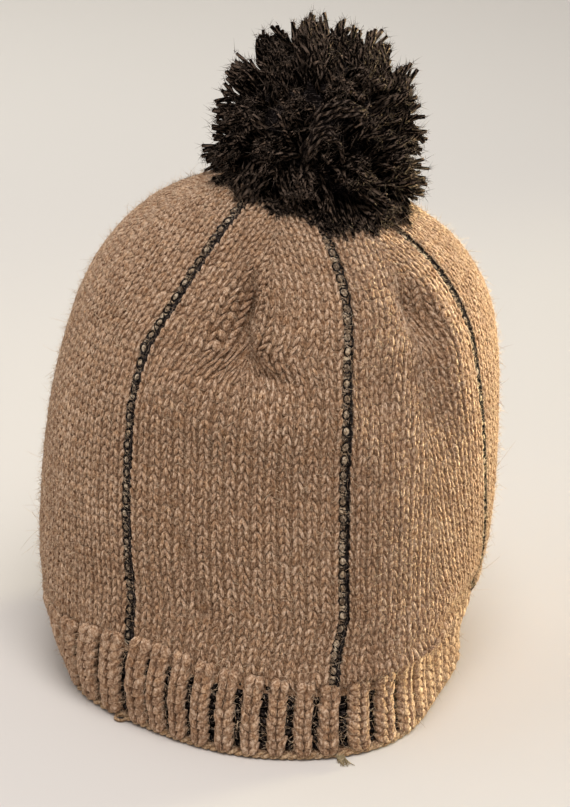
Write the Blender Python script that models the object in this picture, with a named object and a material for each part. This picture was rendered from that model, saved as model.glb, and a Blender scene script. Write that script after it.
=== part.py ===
"""Knitted stocking cap: a soft crown with six contrast stripes, a corrugated rib band and a pompom.

Metres, +Z up. The cap stands on its rim at Z = 0, with the front towards -Y, and its outline is
centred over the origin. Azimuths are in degrees, 0 at the front and growing towards +X.
"""
import math
import random

import bmesh
import bpy
from mathutils import Vector

# Main sizes
CROWN_WIDTH = 0.178         # across the fullest part of the crown
CROWN_DEPTH = 0.172         # front to back at the same height
CROWN_TOP = 0.199           # floor to the gathered top of the crown
RIM_WIDTH = 0.152           # opening edge, side to side
RIM_DEPTH = 0.180           # opening edge, front to back
BAND_HEIGHT = 0.033         # floor to the top of the ribbing
POMPOM_WIDTH = 0.083
POMPOM_RISE = 0.061         # top of the pompom above the top of the crown

# Knitting
PANELS = 6                  # one stripe starts each panel
RIBS_IN_PANEL = 8
CROWN_WALL = 0.0032
EDGE_HEIGHT = 0.0030        # cast-on edge under the ribs
EDGE_ROUND = 0.0006
RIB_WALL = 0.0015
RIB_SHARE = 0.68            # of the rib pitch, the rest is channel
RIB_PROUD = 0.0006          # crest of a rib outside the crown's line
RIB_RELIEF = 0.0017         # crest down to the rib's sides
CHANNEL_WALL = 0.0016
STRIPE_WIDTH = 0.0042
STRIPE_PROUD = 0.0005
GROOVE_DEPTH = 0.0010
GROOVE_SLOPE = 0.0003       # lip of the groove outside its floor
STRIPE_END = 0.20           # reach of the dome at which the stripes stop, under the pompom
STRIPE_SHARE = 0.35         # most of a panel's half angle that a stripe may take
STRIPE_TRIM = 0.06          # of a mesh row, cut from each end of a stripe
GAP = 0.0003                # between pieces that touch
JOIN_GAP = 0.0007           # between the crown and the ribbing's uneven top
CHANNEL_GAP = 0.0006        # between the ribs' uneven backs and the channels

# Pompom
POMPOM_SHIFT = 0.0105       # its middle to the right of the crown's top
POMPOM_FULLNESS = 2.5       # shoulders of its upper half: 2 is round, more is squarer
POMPOM_BASE = 0.85          # top down to its widest level, as a share of its rise
POMPOM_HANG = 0.62          # widest level down to the lowest locks, as a share of its width
CORE_SHARE = 0.74           # tied core, as a share of the whole
LOCK_TAPER = 0.42
LOCK_SPREAD = 0.16          # uneven lock length, as a share
SEAT_GAP = STRIPE_PROUD + 2 * GAP   # pompom's underside over the crown's smooth surface
SEED = 7

# Mesh fineness
PANEL_CELLS = 6             # between two grooves
CROWN_ROWS = 20
LINING_ROWS = 10
TOP_REACH = 0.11            # reach at which the gathered top is closed flat
DOME_FROM = 0.50            # level from which the dome is looked up by its reach
SHARP_ANGLE = math.radians(50)

# Plan of the cap: azimuth, then reach of the rim and of the crown as shares of their ovals,
# height of the band as a share of BAND_HEIGHT, and degrees that a rib's foot stands round from
# its top
PLAN = [
    # azimuth, rim, crown, band, lean
    (-180, 0.970, 0.990, 1.00, 0.0),
    (-150, 0.990, 1.000, 1.00, 0.0),
    (-120, 0.990, 1.000, 1.00, -2.0),
    (-90, 1.040, 1.000, 0.98, -4.0),
    (-60, 1.100, 1.005, 0.97, -6.0),
    (-30, 1.015, 1.010, 1.13, -4.5),
    (0, 1.020, 1.020, 0.96, -3.5),
    (30, 1.035, 1.020, 0.87, -1.5),
    (60, 0.940, 1.000, 1.10, 3.0),
    (90, 0.975, 1.000, 1.16, 2.0),
    (120, 0.980, 1.000, 1.06, 0.0),
    (150, 0.980, 1.000, 1.00, 0.0),
]
PLAN_STEP = 30

# Sections from the rim to the top: height as a share of CROWN_TOP, reach as a share of the oval,
# turn from the rim's oval (0) to the crown's (1), and lean of the middle towards +X and +Y as
# shares of half the crown's width and depth
SECTIONS = [
    # height, reach, crown, lean_x, lean_y
    (0.000, 1.000, 0.00, 0.010, 0.030),
    (0.090, 1.015, 0.12, -0.035, 0.015),
    (0.165, 1.010, 0.50, -0.055, 0.005),
    (0.260, 0.995, 0.88, -0.060, 0.000),
    (0.370, 0.990, 1.00, -0.055, 0.000),
    (0.480, 0.982, 1.00, -0.045, 0.000),
    (0.590, 0.960, 1.00, -0.035, 0.000),
    (0.690, 0.920, 1.00, -0.022, 0.000),
    (0.785, 0.855, 1.00, -0.015, 0.000),
    (0.865, 0.740, 1.00, -0.020, 0.000),
    (0.925, 0.585, 1.00, -0.040, 0.000),
    (0.965, 0.410, 1.00, -0.050, 0.000),
    (0.990, 0.215, 1.00, -0.050, 0.000),
    (1.000, 0.000, 1.00, -0.050, 0.000),
]

# Panels: azimuth of the first rib, then of the stripe at the band, low down, at three quarters
# of the height and near the top
PANEL_LINES = [
    # rib, band, low, middle, top
    (-30.0, -33.0, -33.0, -39.0, -28.0),
    (17.0, 17.5, 20.5, 17.0, 20.0),
    (75.0, 76.0, 75.0, 61.0, 59.0),
    (138.0, 138.0, 138.0, 130.0, 128.0),
    (202.0, 202.0, 201.0, 192.0, 188.0),
    (265.0, 265.0, 264.0, 253.0, 243.0),
]
STRIPE_LOW = 0.28
STRIPE_MIDDLE = 0.75
STRIPE_TOP = 0.95

# Dents and folds: azimuth and height share of the middle, spread of each, lean in degrees per
# unit of height share, and push outwards as a share of half the crown's width
FOLDS = [
    # azimuth, height, wide, tall, lean, push
    (-6.0, 0.760, 9.0, 0.120, 0.0, -0.028),
    (41.0, 0.720, 9.0, 0.110, -25.0, -0.048),
    (56.0, 0.640, 7.0, 0.200, -30.0, 0.022),
    (-12.0, 0.650, 27.0, 0.045, 0.0, 0.034),
    (-6.0, 0.530, 24.0, 0.070, 0.0, -0.016),
    (-24.0, 0.260, 8.0, 0.090, -40.0, -0.018),
    (42.0, 0.225, 12.0, 0.060, 130.0, 0.045),
    (66.0, 0.175, 13.0, 0.050, 90.0, -0.075),
    (-72.0, 0.190, 22.0, 0.120, 0.0, 0.012),
    (-68.0, 0.700, 12.0, 0.120, 0.0, -0.016),
    (96.0, 0.560, 14.0, 0.150, 0.0, -0.020),
    (160.0, 0.700, 12.0, 0.140, 0.0, -0.028),
    (225.0, 0.740, 12.0, 0.120, 0.0, -0.028),
    (175.0, 0.300, 30.0, 0.050, 0.0, 0.018),
]

# Colours of the wool, linear
TAN_WOOL = (0.30, 0.18, 0.105, 1.0)
DARK_WOOL = (0.016, 0.013, 0.012, 1.0)
BROWN_WOOL = (0.040, 0.027, 0.020, 1.0)
WOOL_ROUGHNESS = 0.92


def smooth_value(before, start, end, after, share):
    """Value on a smooth curve through start and end, with the neighbours before and after."""
    rise = (end - before) / 2
    run = (after - start) / 2
    squared, cubed = share ** 2, share ** 3
    return (start * (2 * cubed - 3 * squared + 1) + rise * (cubed - 2 * squared + share)
            + end * (3 * squared - 2 * cubed) + run * (cubed - squared))


def plan_share(azimuth, column):
    """A column of PLAN at any azimuth, on a smooth closed curve."""
    position = (azimuth + 180) / PLAN_STEP
    index = math.floor(position)
    values = [PLAN[(index + step) % len(PLAN)][column] for step in (-1, 0, 1, 2)]
    return smooth_value(*values, position - index)


def section_value(level, column):
    """A column of SECTIONS at a level, from 0 at the rim to 1 at the top."""
    last = len(SECTIONS) - 1
    position = min(max(level, 0.0), 1.0) * last
    index = min(math.floor(position), last - 1)
    steps = [min(max(index + step, 0), last) for step in (-1, 0, 1, 2)]
    return smooth_value(*[SECTIONS[step][column] for step in steps], position - index)


def level_where(column, wanted, low=0.0, high=1.0):
    """Level at which a column of SECTIONS passes a wanted value between two levels."""
    rising = section_value(high, column) > section_value(low, column)
    for _ in range(40):
        middle = (low + high) / 2
        if (section_value(middle, column) < wanted) == rising:
            low = middle
        else:
            high = middle
    return (low + high) / 2


def oval_reach(azimuth, width, depth):
    """Distance from the middle of an oval to its edge."""
    angle = math.radians(azimuth)
    return 1 / math.hypot(math.sin(angle) / (width / 2), math.cos(angle) / (depth / 2))


def fold_push(azimuth, height):
    """How far the folds and dents push the surface outwards at an azimuth and height share."""
    push = 0.0
    for middle, rise, wide, tall, lean, share in FOLDS:
        turn = (azimuth - middle - lean * (height - rise) + 180) % 360 - 180
        push += share * math.exp(-(turn / wide) ** 2 - ((height - rise) / tall) ** 2)
    return push * CROWN_WIDTH / 2


def middle_at(level):
    """Middle of the section at a level, at its height."""
    return Vector((section_value(level, 3) * CROWN_WIDTH / 2,
                   section_value(level, 4) * CROWN_DEPTH / 2,
                   section_value(level, 0) * CROWN_TOP))


def reach_at(azimuth, level):
    """Reach of the smooth cap surface from the section's middle."""
    crown = section_value(level, 2)
    rim_reach = oval_reach(azimuth, RIM_WIDTH, RIM_DEPTH) * plan_share(azimuth, 1)
    crown_reach = oval_reach(azimuth, CROWN_WIDTH, CROWN_DEPTH) * plan_share(azimuth, 2)
    reach = section_value(level, 1) * (rim_reach * (1 - crown) + crown_reach * crown)
    return reach + fold_push(azimuth, section_value(level, 0)) * min(1.0, section_value(level, 1))


def surface_point(azimuth, level):
    """Point of the smooth outer surface."""
    angle = math.radians(azimuth)
    out = Vector((math.sin(angle), -math.cos(angle), 0.0))
    return middle_at(level) + out * reach_at(azimuth, level)


def surface_normal(azimuth, level):
    """Outward normal of the smooth outer surface."""
    turn, climb = 1.0, 0.01
    along = surface_point(azimuth + turn, level) - surface_point(azimuth - turn, level)
    below, above = max(level - climb, 0.0), min(level + climb, 0.995)
    up = surface_point(azimuth, above) - surface_point(azimuth, below)
    return along.cross(up).normalized()


def wall_point(azimuth, level, inset):
    """Point a set depth inside the outer surface, along its normal."""
    return surface_point(azimuth, level) - surface_normal(azimuth, level) * inset


def level_point(azimuth, height, inset):
    """Point at a height, set in from the outer surface without a change of height."""
    level = level_where(0, height / CROWN_TOP)
    angle = math.radians(azimuth)
    out = Vector((math.sin(angle), -math.cos(angle), 0.0))
    point = middle_at(level) + out * (reach_at(azimuth, level) - inset)
    point.z = height
    return point


def band_top(azimuth):
    """Height of the ribbing's top edge."""
    return BAND_HEIGHT * plan_share(azimuth, 3)


def stripe_azimuth(stripe, height):
    """Azimuth of a stripe's middle at a height share; stripes past the last go round again."""
    turns, index = divmod(stripe, PANELS)
    rib, band, low, middle, top = PANEL_LINES[index]
    lowest = BAND_HEIGHT / CROWN_TOP
    if height < STRIPE_LOW:
        share = max(height - lowest, 0.0) / (STRIPE_LOW - lowest)
        azimuth = band + (low - band) * share
    elif height < STRIPE_MIDDLE:
        share = (height - STRIPE_LOW) / (STRIPE_MIDDLE - STRIPE_LOW)
        azimuth = low + (middle - low) * math.sin(share * math.pi / 2)
    else:
        share = min((height - STRIPE_MIDDLE) / (STRIPE_TOP - STRIPE_MIDDLE), 1.0)
        azimuth = middle + (top - middle) * share
    return azimuth + 360 * turns


def half_angle(azimuth, level, half_width):
    """Half the angle that a strip of this half width takes, narrower where the dome closes."""
    widest = STRIPE_SHARE * 180 / PANELS
    return min(math.degrees(half_width / reach_at(azimuth, level)), widest)


# Shared mesh helpers


def knit_tube(columns, rows, place, open_cell=None, wall=False):
    """Grid of cells wrapped into a tube, with cells left open, and with a back where it has a wall.

    place gives the point of a crossing from its column, its row and its layer, 1 on the back.
    """
    tube = bmesh.new()
    bmesh.ops.create_grid(tube, x_segments=columns, y_segments=rows, size=0.5)
    gone = []
    for face in tube.faces:
        centre = face.calc_center_median()
        column = math.floor((centre.x + 0.5) * columns)
        row = math.floor((centre.y + 0.5) * rows)
        if open_cell and open_cell(column, row):
            gone.append(face)
    bmesh.ops.delete(tube, geom=gone, context="FACES")
    for vert in tube.verts:
        turn = (vert.co.x + 0.5) * 2 * math.pi
        vert.co = (math.sin(turn), math.cos(turn), round((vert.co.y + 0.5) * rows))
    bmesh.ops.remove_doubles(tube, verts=tube.verts, dist=0.000001)
    if wall:
        back = bmesh.ops.extrude_face_region(tube, geom=tube.faces[:])["geom"]
        back = [part for part in back if isinstance(part, bmesh.types.BMVert)]
        bmesh.ops.scale(tube, vec=(0.5, 0.5, 1.0), verts=back)
    for vert in tube.verts:
        turn = math.atan2(vert.co.x, vert.co.y) / (2 * math.pi)
        layer = 1 if math.hypot(vert.co.x, vert.co.y) < 0.75 else 0
        vert.co = place(round(turn * columns) % columns, round(vert.co.z), layer)
    return tube


def close_ends(sheet):
    """Fill the open loops at both ends of a tube."""
    rim = [edge for edge in sheet.edges if edge.is_boundary]
    bmesh.ops.holes_fill(sheet, edges=rim, sides=0)


def wool(name, colour):
    """Matt wool of one colour."""
    material = bpy.data.materials.new(name)
    material.use_nodes = True
    shader = material.node_tree.nodes["Principled BSDF"]
    shader.inputs["Base Color"].default_value = colour
    shader.inputs["Roughness"].default_value = WOOL_ROUGHNESS
    shader.inputs["Metallic"].default_value = 0.0
    material.diffuse_color = colour
    return material


def add_piece(name, form, material, parent, place=(0.0, 0.0, 0.0)):
    """Turn a bmesh into a named object on the cap."""
    bmesh.ops.recalc_face_normals(form, faces=form.faces)
    if form.calc_volume(signed=True) < 0:
        bmesh.ops.reverse_faces(form, faces=form.faces)
    mesh = bpy.data.meshes.new(name)
    form.to_mesh(mesh)
    form.free()
    mesh.shade_smooth()
    mesh.set_sharp_from_angle(angle=SHARP_ANGLE)
    mesh.materials.append(material)
    piece = bpy.data.objects.new(name, mesh)
    bpy.context.collection.objects.link(piece)
    piece.parent = parent
    piece.location = place
    return piece


# Crown

GROOVE_HALF = STRIPE_WIDTH / 2 + GAP
LIP_HALF = GROOVE_HALF + GROOVE_SLOPE
COLUMNS_IN_PANEL = PANEL_CELLS + 3
CROWN_COLUMNS = PANELS * COLUMNS_IN_PANEL
TOP_LEVEL = level_where(1, TOP_REACH, 0.6, 1.0)
STRIPE_TOP_LEVEL = level_where(1, STRIPE_END, 0.6, 1.0)


def crown_column(column, level):
    """Azimuth of a mesh column: two lips and two floor lines of a groove, then the panel."""
    panel, step = divmod(column, COLUMNS_IN_PANEL)
    height = section_value(level, 0)
    start = stripe_azimuth(panel, height)
    end = stripe_azimuth(panel + 1, height)
    if step == 0:
        return start - half_angle(start, level, LIP_HALF)
    if step == 1:
        return start - half_angle(start, level, GROOVE_HALF)
    if step == 2:
        return start + half_angle(start, level, GROOVE_HALF)
    start += half_angle(start, level, LIP_HALF)
    end -= half_angle(end, level, LIP_HALF)
    share = (step - 3) / PANEL_CELLS
    return start * (1 - share) + end * share


def foot_level(column):
    """Level of the crown's lowest edge at a mesh column, just over the band."""
    level = level_where(0, BAND_HEIGHT / CROWN_TOP)
    return level_where(0, (band_top(crown_column(column, level)) + JOIN_GAP) / CROWN_TOP)


FOOT_LEVELS = [foot_level(column) for column in range(CROWN_COLUMNS)]


def crown_level(column, row, rows):
    """Level of a mesh row, from just over the band to the closed top."""
    start = FOOT_LEVELS[column]
    return start + (TOP_LEVEL - start) * row / rows


def crown_point(column, row):
    """Point of the crown's closed skin: up the outside, or down the lining for rows under 0."""
    if row >= 0:
        level = crown_level(column, row, CROWN_ROWS)
        in_groove = column % COLUMNS_IN_PANEL in (1, 2) and level < STRIPE_TOP_LEVEL
        return wall_point(crown_column(column, level), level, GROOVE_DEPTH if in_groove else 0.0)
    level = crown_level(column, -row - 1, LINING_ROWS)
    azimuth = crown_column(column, level)
    if row == -1:
        return level_point(azimuth, section_value(level, 0) * CROWN_TOP, CROWN_WALL)
    return wall_point(azimuth, level, CROWN_WALL)


def build_crown(parent, material):
    """Hollow knitted crown: outside, inside and the open bottom edge in one closed skin."""
    lining = LINING_ROWS + 1
    skin = knit_tube(CROWN_COLUMNS, CROWN_ROWS + lining,
                     lambda column, row, layer: crown_point(column, row - lining))
    close_ends(skin)
    return add_piece("crown", skin, material, parent)


# Stripes

STRIPE_SIDES = [
    # across as a share of the half width, depth from the surface
    (-1.0, GROOVE_DEPTH - GAP),
    (-0.8, -STRIPE_PROUD),
    (0.8, -STRIPE_PROUD),
    (1.0, GROOVE_DEPTH - GAP),
]


def build_stripe(index, parent, material):
    """Strip of dark knitting in one groove, following the crown's own rows."""
    column = index * COLUMNS_IN_PANEL + 1
    levels = [crown_level(column, row, CROWN_ROWS) for row in range(CROWN_ROWS + 1)]
    levels = [level for level in levels if level < STRIPE_TOP_LEVEL]
    trim = (levels[1] - levels[0]) * STRIPE_TRIM
    levels[0] += trim
    levels[-1] -= trim

    def place(side, row, layer):
        level = levels[row]
        share, depth = STRIPE_SIDES[side]
        middle = stripe_azimuth(index, section_value(level, 0))
        return wall_point(middle + half_angle(middle, level, STRIPE_WIDTH / 2) * share,
                          level, depth)

    strip = knit_tube(len(STRIPE_SIDES), len(levels) - 1, place)
    close_ends(strip)
    return add_piece(f"stripe_{index + 1}", strip, material, parent)


# Band

RIBS = PANELS * RIBS_IN_PANEL
RIB_LINES = [
    # across as a share of the rib's half width, depth as a share of the relief
    (-1.0, 1.0),
    (-0.45, 0.0),
    (0.45, 0.0),
    (1.0, 1.0),
]
RIB_LEVELS = [
    # height as a share of the rib, depth as a share of the relief
    (0.0, 1.0),
    (0.5, 1.0),
    (0.86, 1.0),
    (1.0, 0.8),
]
RIB_BACK = RIB_RELIEF - RIB_PROUD + RIB_WALL
CHANNEL_FRONT = RIB_BACK + CHANNEL_GAP
BAND_BACK = CHANNEL_FRONT + CHANNEL_WALL
RING_COLUMNS = RIBS * 2


def rib_azimuth(position):
    """Azimuth at the band's top of a place in the ribbing, counted in ribs from the first."""
    panel = math.floor(position / RIBS_IN_PANEL)
    share = position / RIBS_IN_PANEL - panel
    start = PANEL_LINES[panel % PANELS][0] + 360 * (panel // PANELS)
    end = PANEL_LINES[(panel + 1) % PANELS][0] + 360 * ((panel + 1) // PANELS)
    return start * (1 - share) + end * share


def leaning(azimuth, share):
    """Azimuth of a rib's line at a share of the way up from its foot to its top."""
    return azimuth + plan_share(azimuth, 4) * (1 - share)


def rib_point(column, row, layer):
    """Point of the ribbing; its last row is the edge that meets the crown."""
    rib, line = divmod(column, len(RIB_LINES))
    across, depth = RIB_LINES[line]
    share, relief = RIB_LEVELS[row]
    azimuth = rib_azimuth(rib + across * RIB_SHARE / 2)
    foot = EDGE_HEIGHT + GAP
    height = foot + (band_top(azimuth) - foot) * share
    inset = depth * relief * RIB_RELIEF - RIB_PROUD + layer * RIB_WALL
    return level_point(leaning(azimuth, share), height, inset)


def is_channel(column, row):
    """Cells between two ribs, below the edge that joins them."""
    return column % len(RIB_LINES) == len(RIB_LINES) - 1 and row < len(RIB_LEVELS) - 2


def build_rib_band(parent, material):
    """Ribs joined along their top, with open channels between them."""
    ribs = knit_tube(RIBS * len(RIB_LINES), len(RIB_LEVELS) - 1, rib_point, is_channel, True)
    return add_piece("rib_band", ribs, material, parent)


def build_ring(name, foot, top, levels, parent, material):
    """Ring in the band's line from foot to top; levels are shares of the way up and insets."""
    def place(column, row, layer):
        azimuth = rib_azimuth(column * RIBS / RING_COLUMNS)
        share, front = levels[row]
        height = foot + (top(azimuth) - foot) * share
        return level_point(leaning(azimuth, share), height, BAND_BACK if layer else front)

    ring = knit_tube(RING_COLUMNS, len(levels) - 1, place, wall=True)
    return add_piece(name, ring, material, parent)


def build_channels(parent, material):
    """Dark purl knitting behind the ribs, seen through the channels."""
    levels = [(share, CHANNEL_FRONT) for share, relief in RIB_LEVELS]
    return build_ring("rib_channels", EDGE_HEIGHT + GAP, band_top, levels, parent, material)


def build_edge(parent, material):
    """Cast-on edge, flat underneath where the cap rests."""
    levels = [(0.0, EDGE_ROUND), (1.0, 0.0)]
    return build_ring("cast_on_edge", 0.0, lambda azimuth: EDGE_HEIGHT, levels, parent, material)


# Pompom


def dome_height(x, y):
    """Height of the crown's smooth outside over a point near its top."""
    low, high = DOME_FROM, 1.0
    for _ in range(30):
        level = (low + high) / 2
        offset = Vector((x, y, 0.0)) - middle_at(level)
        azimuth = math.degrees(math.atan2(offset.x, -offset.y))
        if math.hypot(offset.x, offset.y) < reach_at(azimuth, level):
            low = level
        else:
            high = level
    return section_value(low, 0) * CROWN_TOP


def build_pompom(parent, material):
    """Ball of cut yarn: a core with a tapered lock on each of its faces, seated on the crown."""
    draw = random.Random(SEED)
    top = CROWN_TOP + POMPOM_RISE
    rise = POMPOM_RISE * POMPOM_BASE
    centre = Vector((middle_at(1.0).x + POMPOM_SHIFT, middle_at(1.0).y, top - rise))
    reach = POMPOM_WIDTH / 2

    def stretched(direction, share):
        upward = rise if direction.z > 0 else POMPOM_WIDTH * POMPOM_HANG
        if direction.z > 0:
            flat = math.hypot(direction.x, direction.y)
            power = flat ** POMPOM_FULLNESS + direction.z ** POMPOM_FULLNESS
            share *= power ** (-1 / POMPOM_FULLNESS)
        return Vector((direction.x * reach, direction.y * reach, direction.z * upward)) * share

    ball = bmesh.new()
    bmesh.ops.create_icosphere(ball, subdivisions=3, radius=1.0)
    for vert in ball.verts:
        vert.co = vert.co.normalized()
    locks = bmesh.ops.extrude_discrete_faces(ball, faces=ball.faces[:])["faces"]
    tips = set()
    for lock in locks:
        length = 1 - LOCK_SPREAD * draw.random()
        middle = lock.calc_center_median().normalized()
        for vert in lock.verts:
            vert.co = stretched(middle.lerp(vert.co, LOCK_TAPER), length)
            tips.add(vert)
    for vert in ball.verts:
        if vert not in tips:
            vert.co = stretched(vert.co, CORE_SHARE)
    for vert in ball.verts:
        place = centre + vert.co
        seat = dome_height(place.x, place.y) + SEAT_GAP
        vert.co.z = max(place.z, seat) - centre.z
    return add_piece("pompom", ball, material, parent, centre)


def build_cap():
    """Clear the scene and build every piece under one empty."""
    for thing in list(bpy.data.objects):
        bpy.data.objects.remove(thing, do_unlink=True)
    cap = bpy.data.objects.new("stocking_cap", None)
    bpy.context.collection.objects.link(cap)
    tan = wool("tan_wool", TAN_WOOL)
    dark = wool("dark_wool", DARK_WOOL)
    brown = wool("brown_wool", BROWN_WOOL)
    pieces = [build_crown(cap, tan)]
    pieces += [build_stripe(index, cap, dark) for index in range(PANELS)]
    pieces += [build_rib_band(cap, tan), build_channels(cap, dark), build_edge(cap, tan)]
    pieces += [build_pompom(cap, brown)]
    corners = [piece.location + vert.co for piece in pieces for vert in piece.data.vertices]
    cap.location.x = -(min(c.x for c in corners) + max(c.x for c in corners)) / 2
    cap.location.y = -(min(c.y for c in corners) + max(c.y for c in corners)) / 2
    bpy.context.view_layer.update()
    return cap


build_cap()
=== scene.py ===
"""Looks of a knitted stocking cap.

Its stitches, stripes, ribbing, cast-on edge, pompom and loose hairs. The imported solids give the
frame. Each piece here is built from the same formula of the cap's surface as the solids are, so
that it lies where they are. Metres, +Z up, the front towards -Y.
"""
import logging
import math
from collections.abc import Callable
from dataclasses import dataclass, field
from enum import Enum

import bmesh
import bpy
import numpy as np
from mathutils import Matrix, Vector


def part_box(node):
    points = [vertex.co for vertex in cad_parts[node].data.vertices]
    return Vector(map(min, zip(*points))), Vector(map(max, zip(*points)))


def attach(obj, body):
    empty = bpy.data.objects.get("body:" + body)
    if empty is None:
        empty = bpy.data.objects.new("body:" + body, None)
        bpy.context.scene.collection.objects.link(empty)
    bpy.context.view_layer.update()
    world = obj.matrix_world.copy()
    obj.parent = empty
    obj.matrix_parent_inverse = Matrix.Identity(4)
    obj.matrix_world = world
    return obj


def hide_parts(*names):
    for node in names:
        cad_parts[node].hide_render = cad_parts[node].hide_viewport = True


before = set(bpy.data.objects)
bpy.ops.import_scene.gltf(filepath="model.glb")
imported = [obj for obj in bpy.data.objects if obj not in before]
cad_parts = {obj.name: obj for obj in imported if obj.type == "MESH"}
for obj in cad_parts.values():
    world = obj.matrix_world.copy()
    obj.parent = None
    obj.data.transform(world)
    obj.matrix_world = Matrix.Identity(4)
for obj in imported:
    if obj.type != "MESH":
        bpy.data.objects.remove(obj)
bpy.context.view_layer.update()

LOG = logging.getLogger("cap")
SEED = 11

Colour = tuple[float, float, float]
Triple = tuple[float, float, float]

ROUNDS = 3  # rounds that settle a place beside a slanting stripe

# The cap's surface, as shares of its main sizes

PLAN_STEP = 30
PLAN = (
    # azimuth, rim, crown, band, lean
    (-180, 0.970, 0.990, 1.00, 0.0),
    (-150, 0.990, 1.000, 1.00, 0.0),
    (-120, 0.990, 1.000, 1.00, -2.0),
    (-90, 1.040, 1.000, 0.98, -4.0),
    (-60, 1.100, 1.005, 0.97, -6.0),
    (-30, 1.015, 1.010, 1.13, -4.5),
    (0, 1.020, 1.020, 0.96, -3.5),
    (30, 1.035, 1.020, 0.87, -1.5),
    (60, 0.940, 1.000, 1.10, 3.0),
    (90, 0.975, 1.000, 1.16, 2.0),
    (120, 0.980, 1.000, 1.06, 0.0),
    (150, 0.980, 1.000, 1.00, 0.0),
)

SECTIONS = (
    # height, reach, crown, lean_x, lean_y
    (0.000, 1.000, 0.00, 0.010, 0.030),
    (0.090, 1.015, 0.12, -0.035, 0.015),
    (0.165, 1.010, 0.50, -0.055, 0.005),
    (0.260, 0.995, 0.88, -0.060, 0.000),
    (0.370, 0.990, 1.00, -0.055, 0.000),
    (0.480, 0.982, 1.00, -0.045, 0.000),
    (0.590, 0.960, 1.00, -0.035, 0.000),
    (0.690, 0.920, 1.00, -0.022, 0.000),
    (0.785, 0.855, 1.00, -0.015, 0.000),
    (0.865, 0.740, 1.00, -0.020, 0.000),
    (0.925, 0.585, 1.00, -0.040, 0.000),
    (0.965, 0.410, 1.00, -0.050, 0.000),
    (0.990, 0.215, 1.00, -0.050, 0.000),
    (1.000, 0.000, 1.00, -0.050, 0.000),
)

PANEL_LINES = (
    # rib, band, low, middle, top
    (-30.0, -33.0, -33.0, -39.0, -28.0),
    (17.0, 17.5, 20.5, 17.0, 20.0),
    (75.0, 76.0, 75.0, 61.0, 59.0),
    (138.0, 138.0, 138.0, 130.0, 128.0),
    (202.0, 202.0, 201.0, 192.0, 188.0),
    (265.0, 265.0, 264.0, 253.0, 243.0),
)

FOLDS = (
    # azimuth, height, wide, tall, lean, push
    (-6.0, 0.760, 9.0, 0.120, 0.0, -0.028),
    (41.0, 0.720, 9.0, 0.110, -25.0, -0.048),
    (56.0, 0.640, 7.0, 0.200, -30.0, 0.022),
    (-12.0, 0.650, 27.0, 0.045, 0.0, 0.034),
    (-6.0, 0.530, 24.0, 0.070, 0.0, -0.016),
    (-24.0, 0.260, 8.0, 0.090, -40.0, -0.018),
    (42.0, 0.225, 12.0, 0.060, 130.0, 0.045),
    (66.0, 0.175, 13.0, 0.050, 90.0, -0.075),
    (-72.0, 0.190, 22.0, 0.120, 0.0, 0.012),
    (-68.0, 0.700, 12.0, 0.120, 0.0, -0.016),
    (96.0, 0.560, 14.0, 0.150, 0.0, -0.020),
    (160.0, 0.700, 12.0, 0.140, 0.0, -0.028),
    (225.0, 0.740, 12.0, 0.120, 0.0, -0.028),
    (175.0, 0.300, 30.0, 0.050, 0.0, 0.018),
)

CREASES = (
    # azimuth, height, wide, tall, lean, push
    (-12.5, 0.822, 3.9, 0.076, 8.0, -0.215),
    (-9.5, 0.757, 4.4, 0.036, -100.0, -0.100),
    (-3.0, 0.722, 7.0, 0.016, -60.0, -0.035),
    (-5.0, 0.830, 3.6, 0.080, 0.0, 0.055),
    (-19.0, 0.830, 4.5, 0.060, 0.0, 0.012),
    (-16.5, 0.340, 2.5, 0.110, -52.0, -0.045),
    (42.0, 0.820, 5.0, 0.045, -54.0, -0.115),
    (27.0, 0.690, 6.5, 0.090, -35.0, -0.042),
    (50.0, 0.770, 5.0, 0.150, -10.0, 0.026),
    (-20.0, 0.700, 14.0, 0.026, 0.0, 0.028),
    (51.0, 0.193, 18.0, 0.028, 1000.0, 0.060),
)

STRIPE_YARNS = (
    # beads, loops, line, fade
    (0.78, 1.50, 1.40, 0.00),
    (1.00, 1.10, 1.45, 0.50),
    (0.85, 1.45, 1.60, 0.00),
    (0.90, 1.20, 1.20, 0.20),
    (0.90, 1.20, 1.20, 0.20),
    (0.90, 1.20, 1.20, 0.20),
)

ARCHES = (
    # across, rise, half, height, lean
    (0.07, 0.13, 0.23, 0.23, -0.02),
    (0.19, 0.42, 0.32, 0.09, 0.02),
)


def smooth_column(table: tuple, column: int, position: np.ndarray, closed: bool) -> np.ndarray:
    """Read one column of a table on a smooth curve through its rows.

    Args:
        table: Rows of numbers.
        column: Which number of each row.
        position: Places along the table, counted in rows.
        closed: Whether the last row is followed by the first.

    Returns:
        The column's value at each place.
    """
    values = np.array([row[column] for row in table])
    last = len(values) - 1
    index = np.floor(position).astype(int)
    if not closed:
        index = np.clip(index, 0, last - 1)
    share = position - index
    steps = [index - 1, index, index + 1, index + 2]
    if closed:
        before, start, end, after = (values[step % len(values)] for step in steps)
    else:
        before, start, end, after = (values[np.clip(step, 0, last)] for step in steps)
    rise, run = (end - before) / 2, (after - start) / 2
    squared, cubed = share ** 2, share ** 3
    return (start * (2 * cubed - 3 * squared + 1) + rise * (cubed - 2 * squared + share)
            + end * (3 * squared - 2 * cubed) + run * (cubed - squared))


def unit(vectors: np.ndarray) -> np.ndarray:
    """Vectors of length one in the same directions."""
    return vectors / np.maximum(np.linalg.norm(vectors, axis=-1, keepdims=True), 1e-12)


def tinted(colour: Colour) -> tuple[float, float, float, float]:
    """A colour as the shader takes it."""
    return (*colour, 1.0)


def linked(name: str, data: bpy.types.ID) -> bpy.types.Object:
    """Make an object of a mesh, a light or a camera, and put it into the scene."""
    thing = bpy.data.objects.new(name, data)
    bpy.context.collection.objects.link(thing)
    return thing


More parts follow.
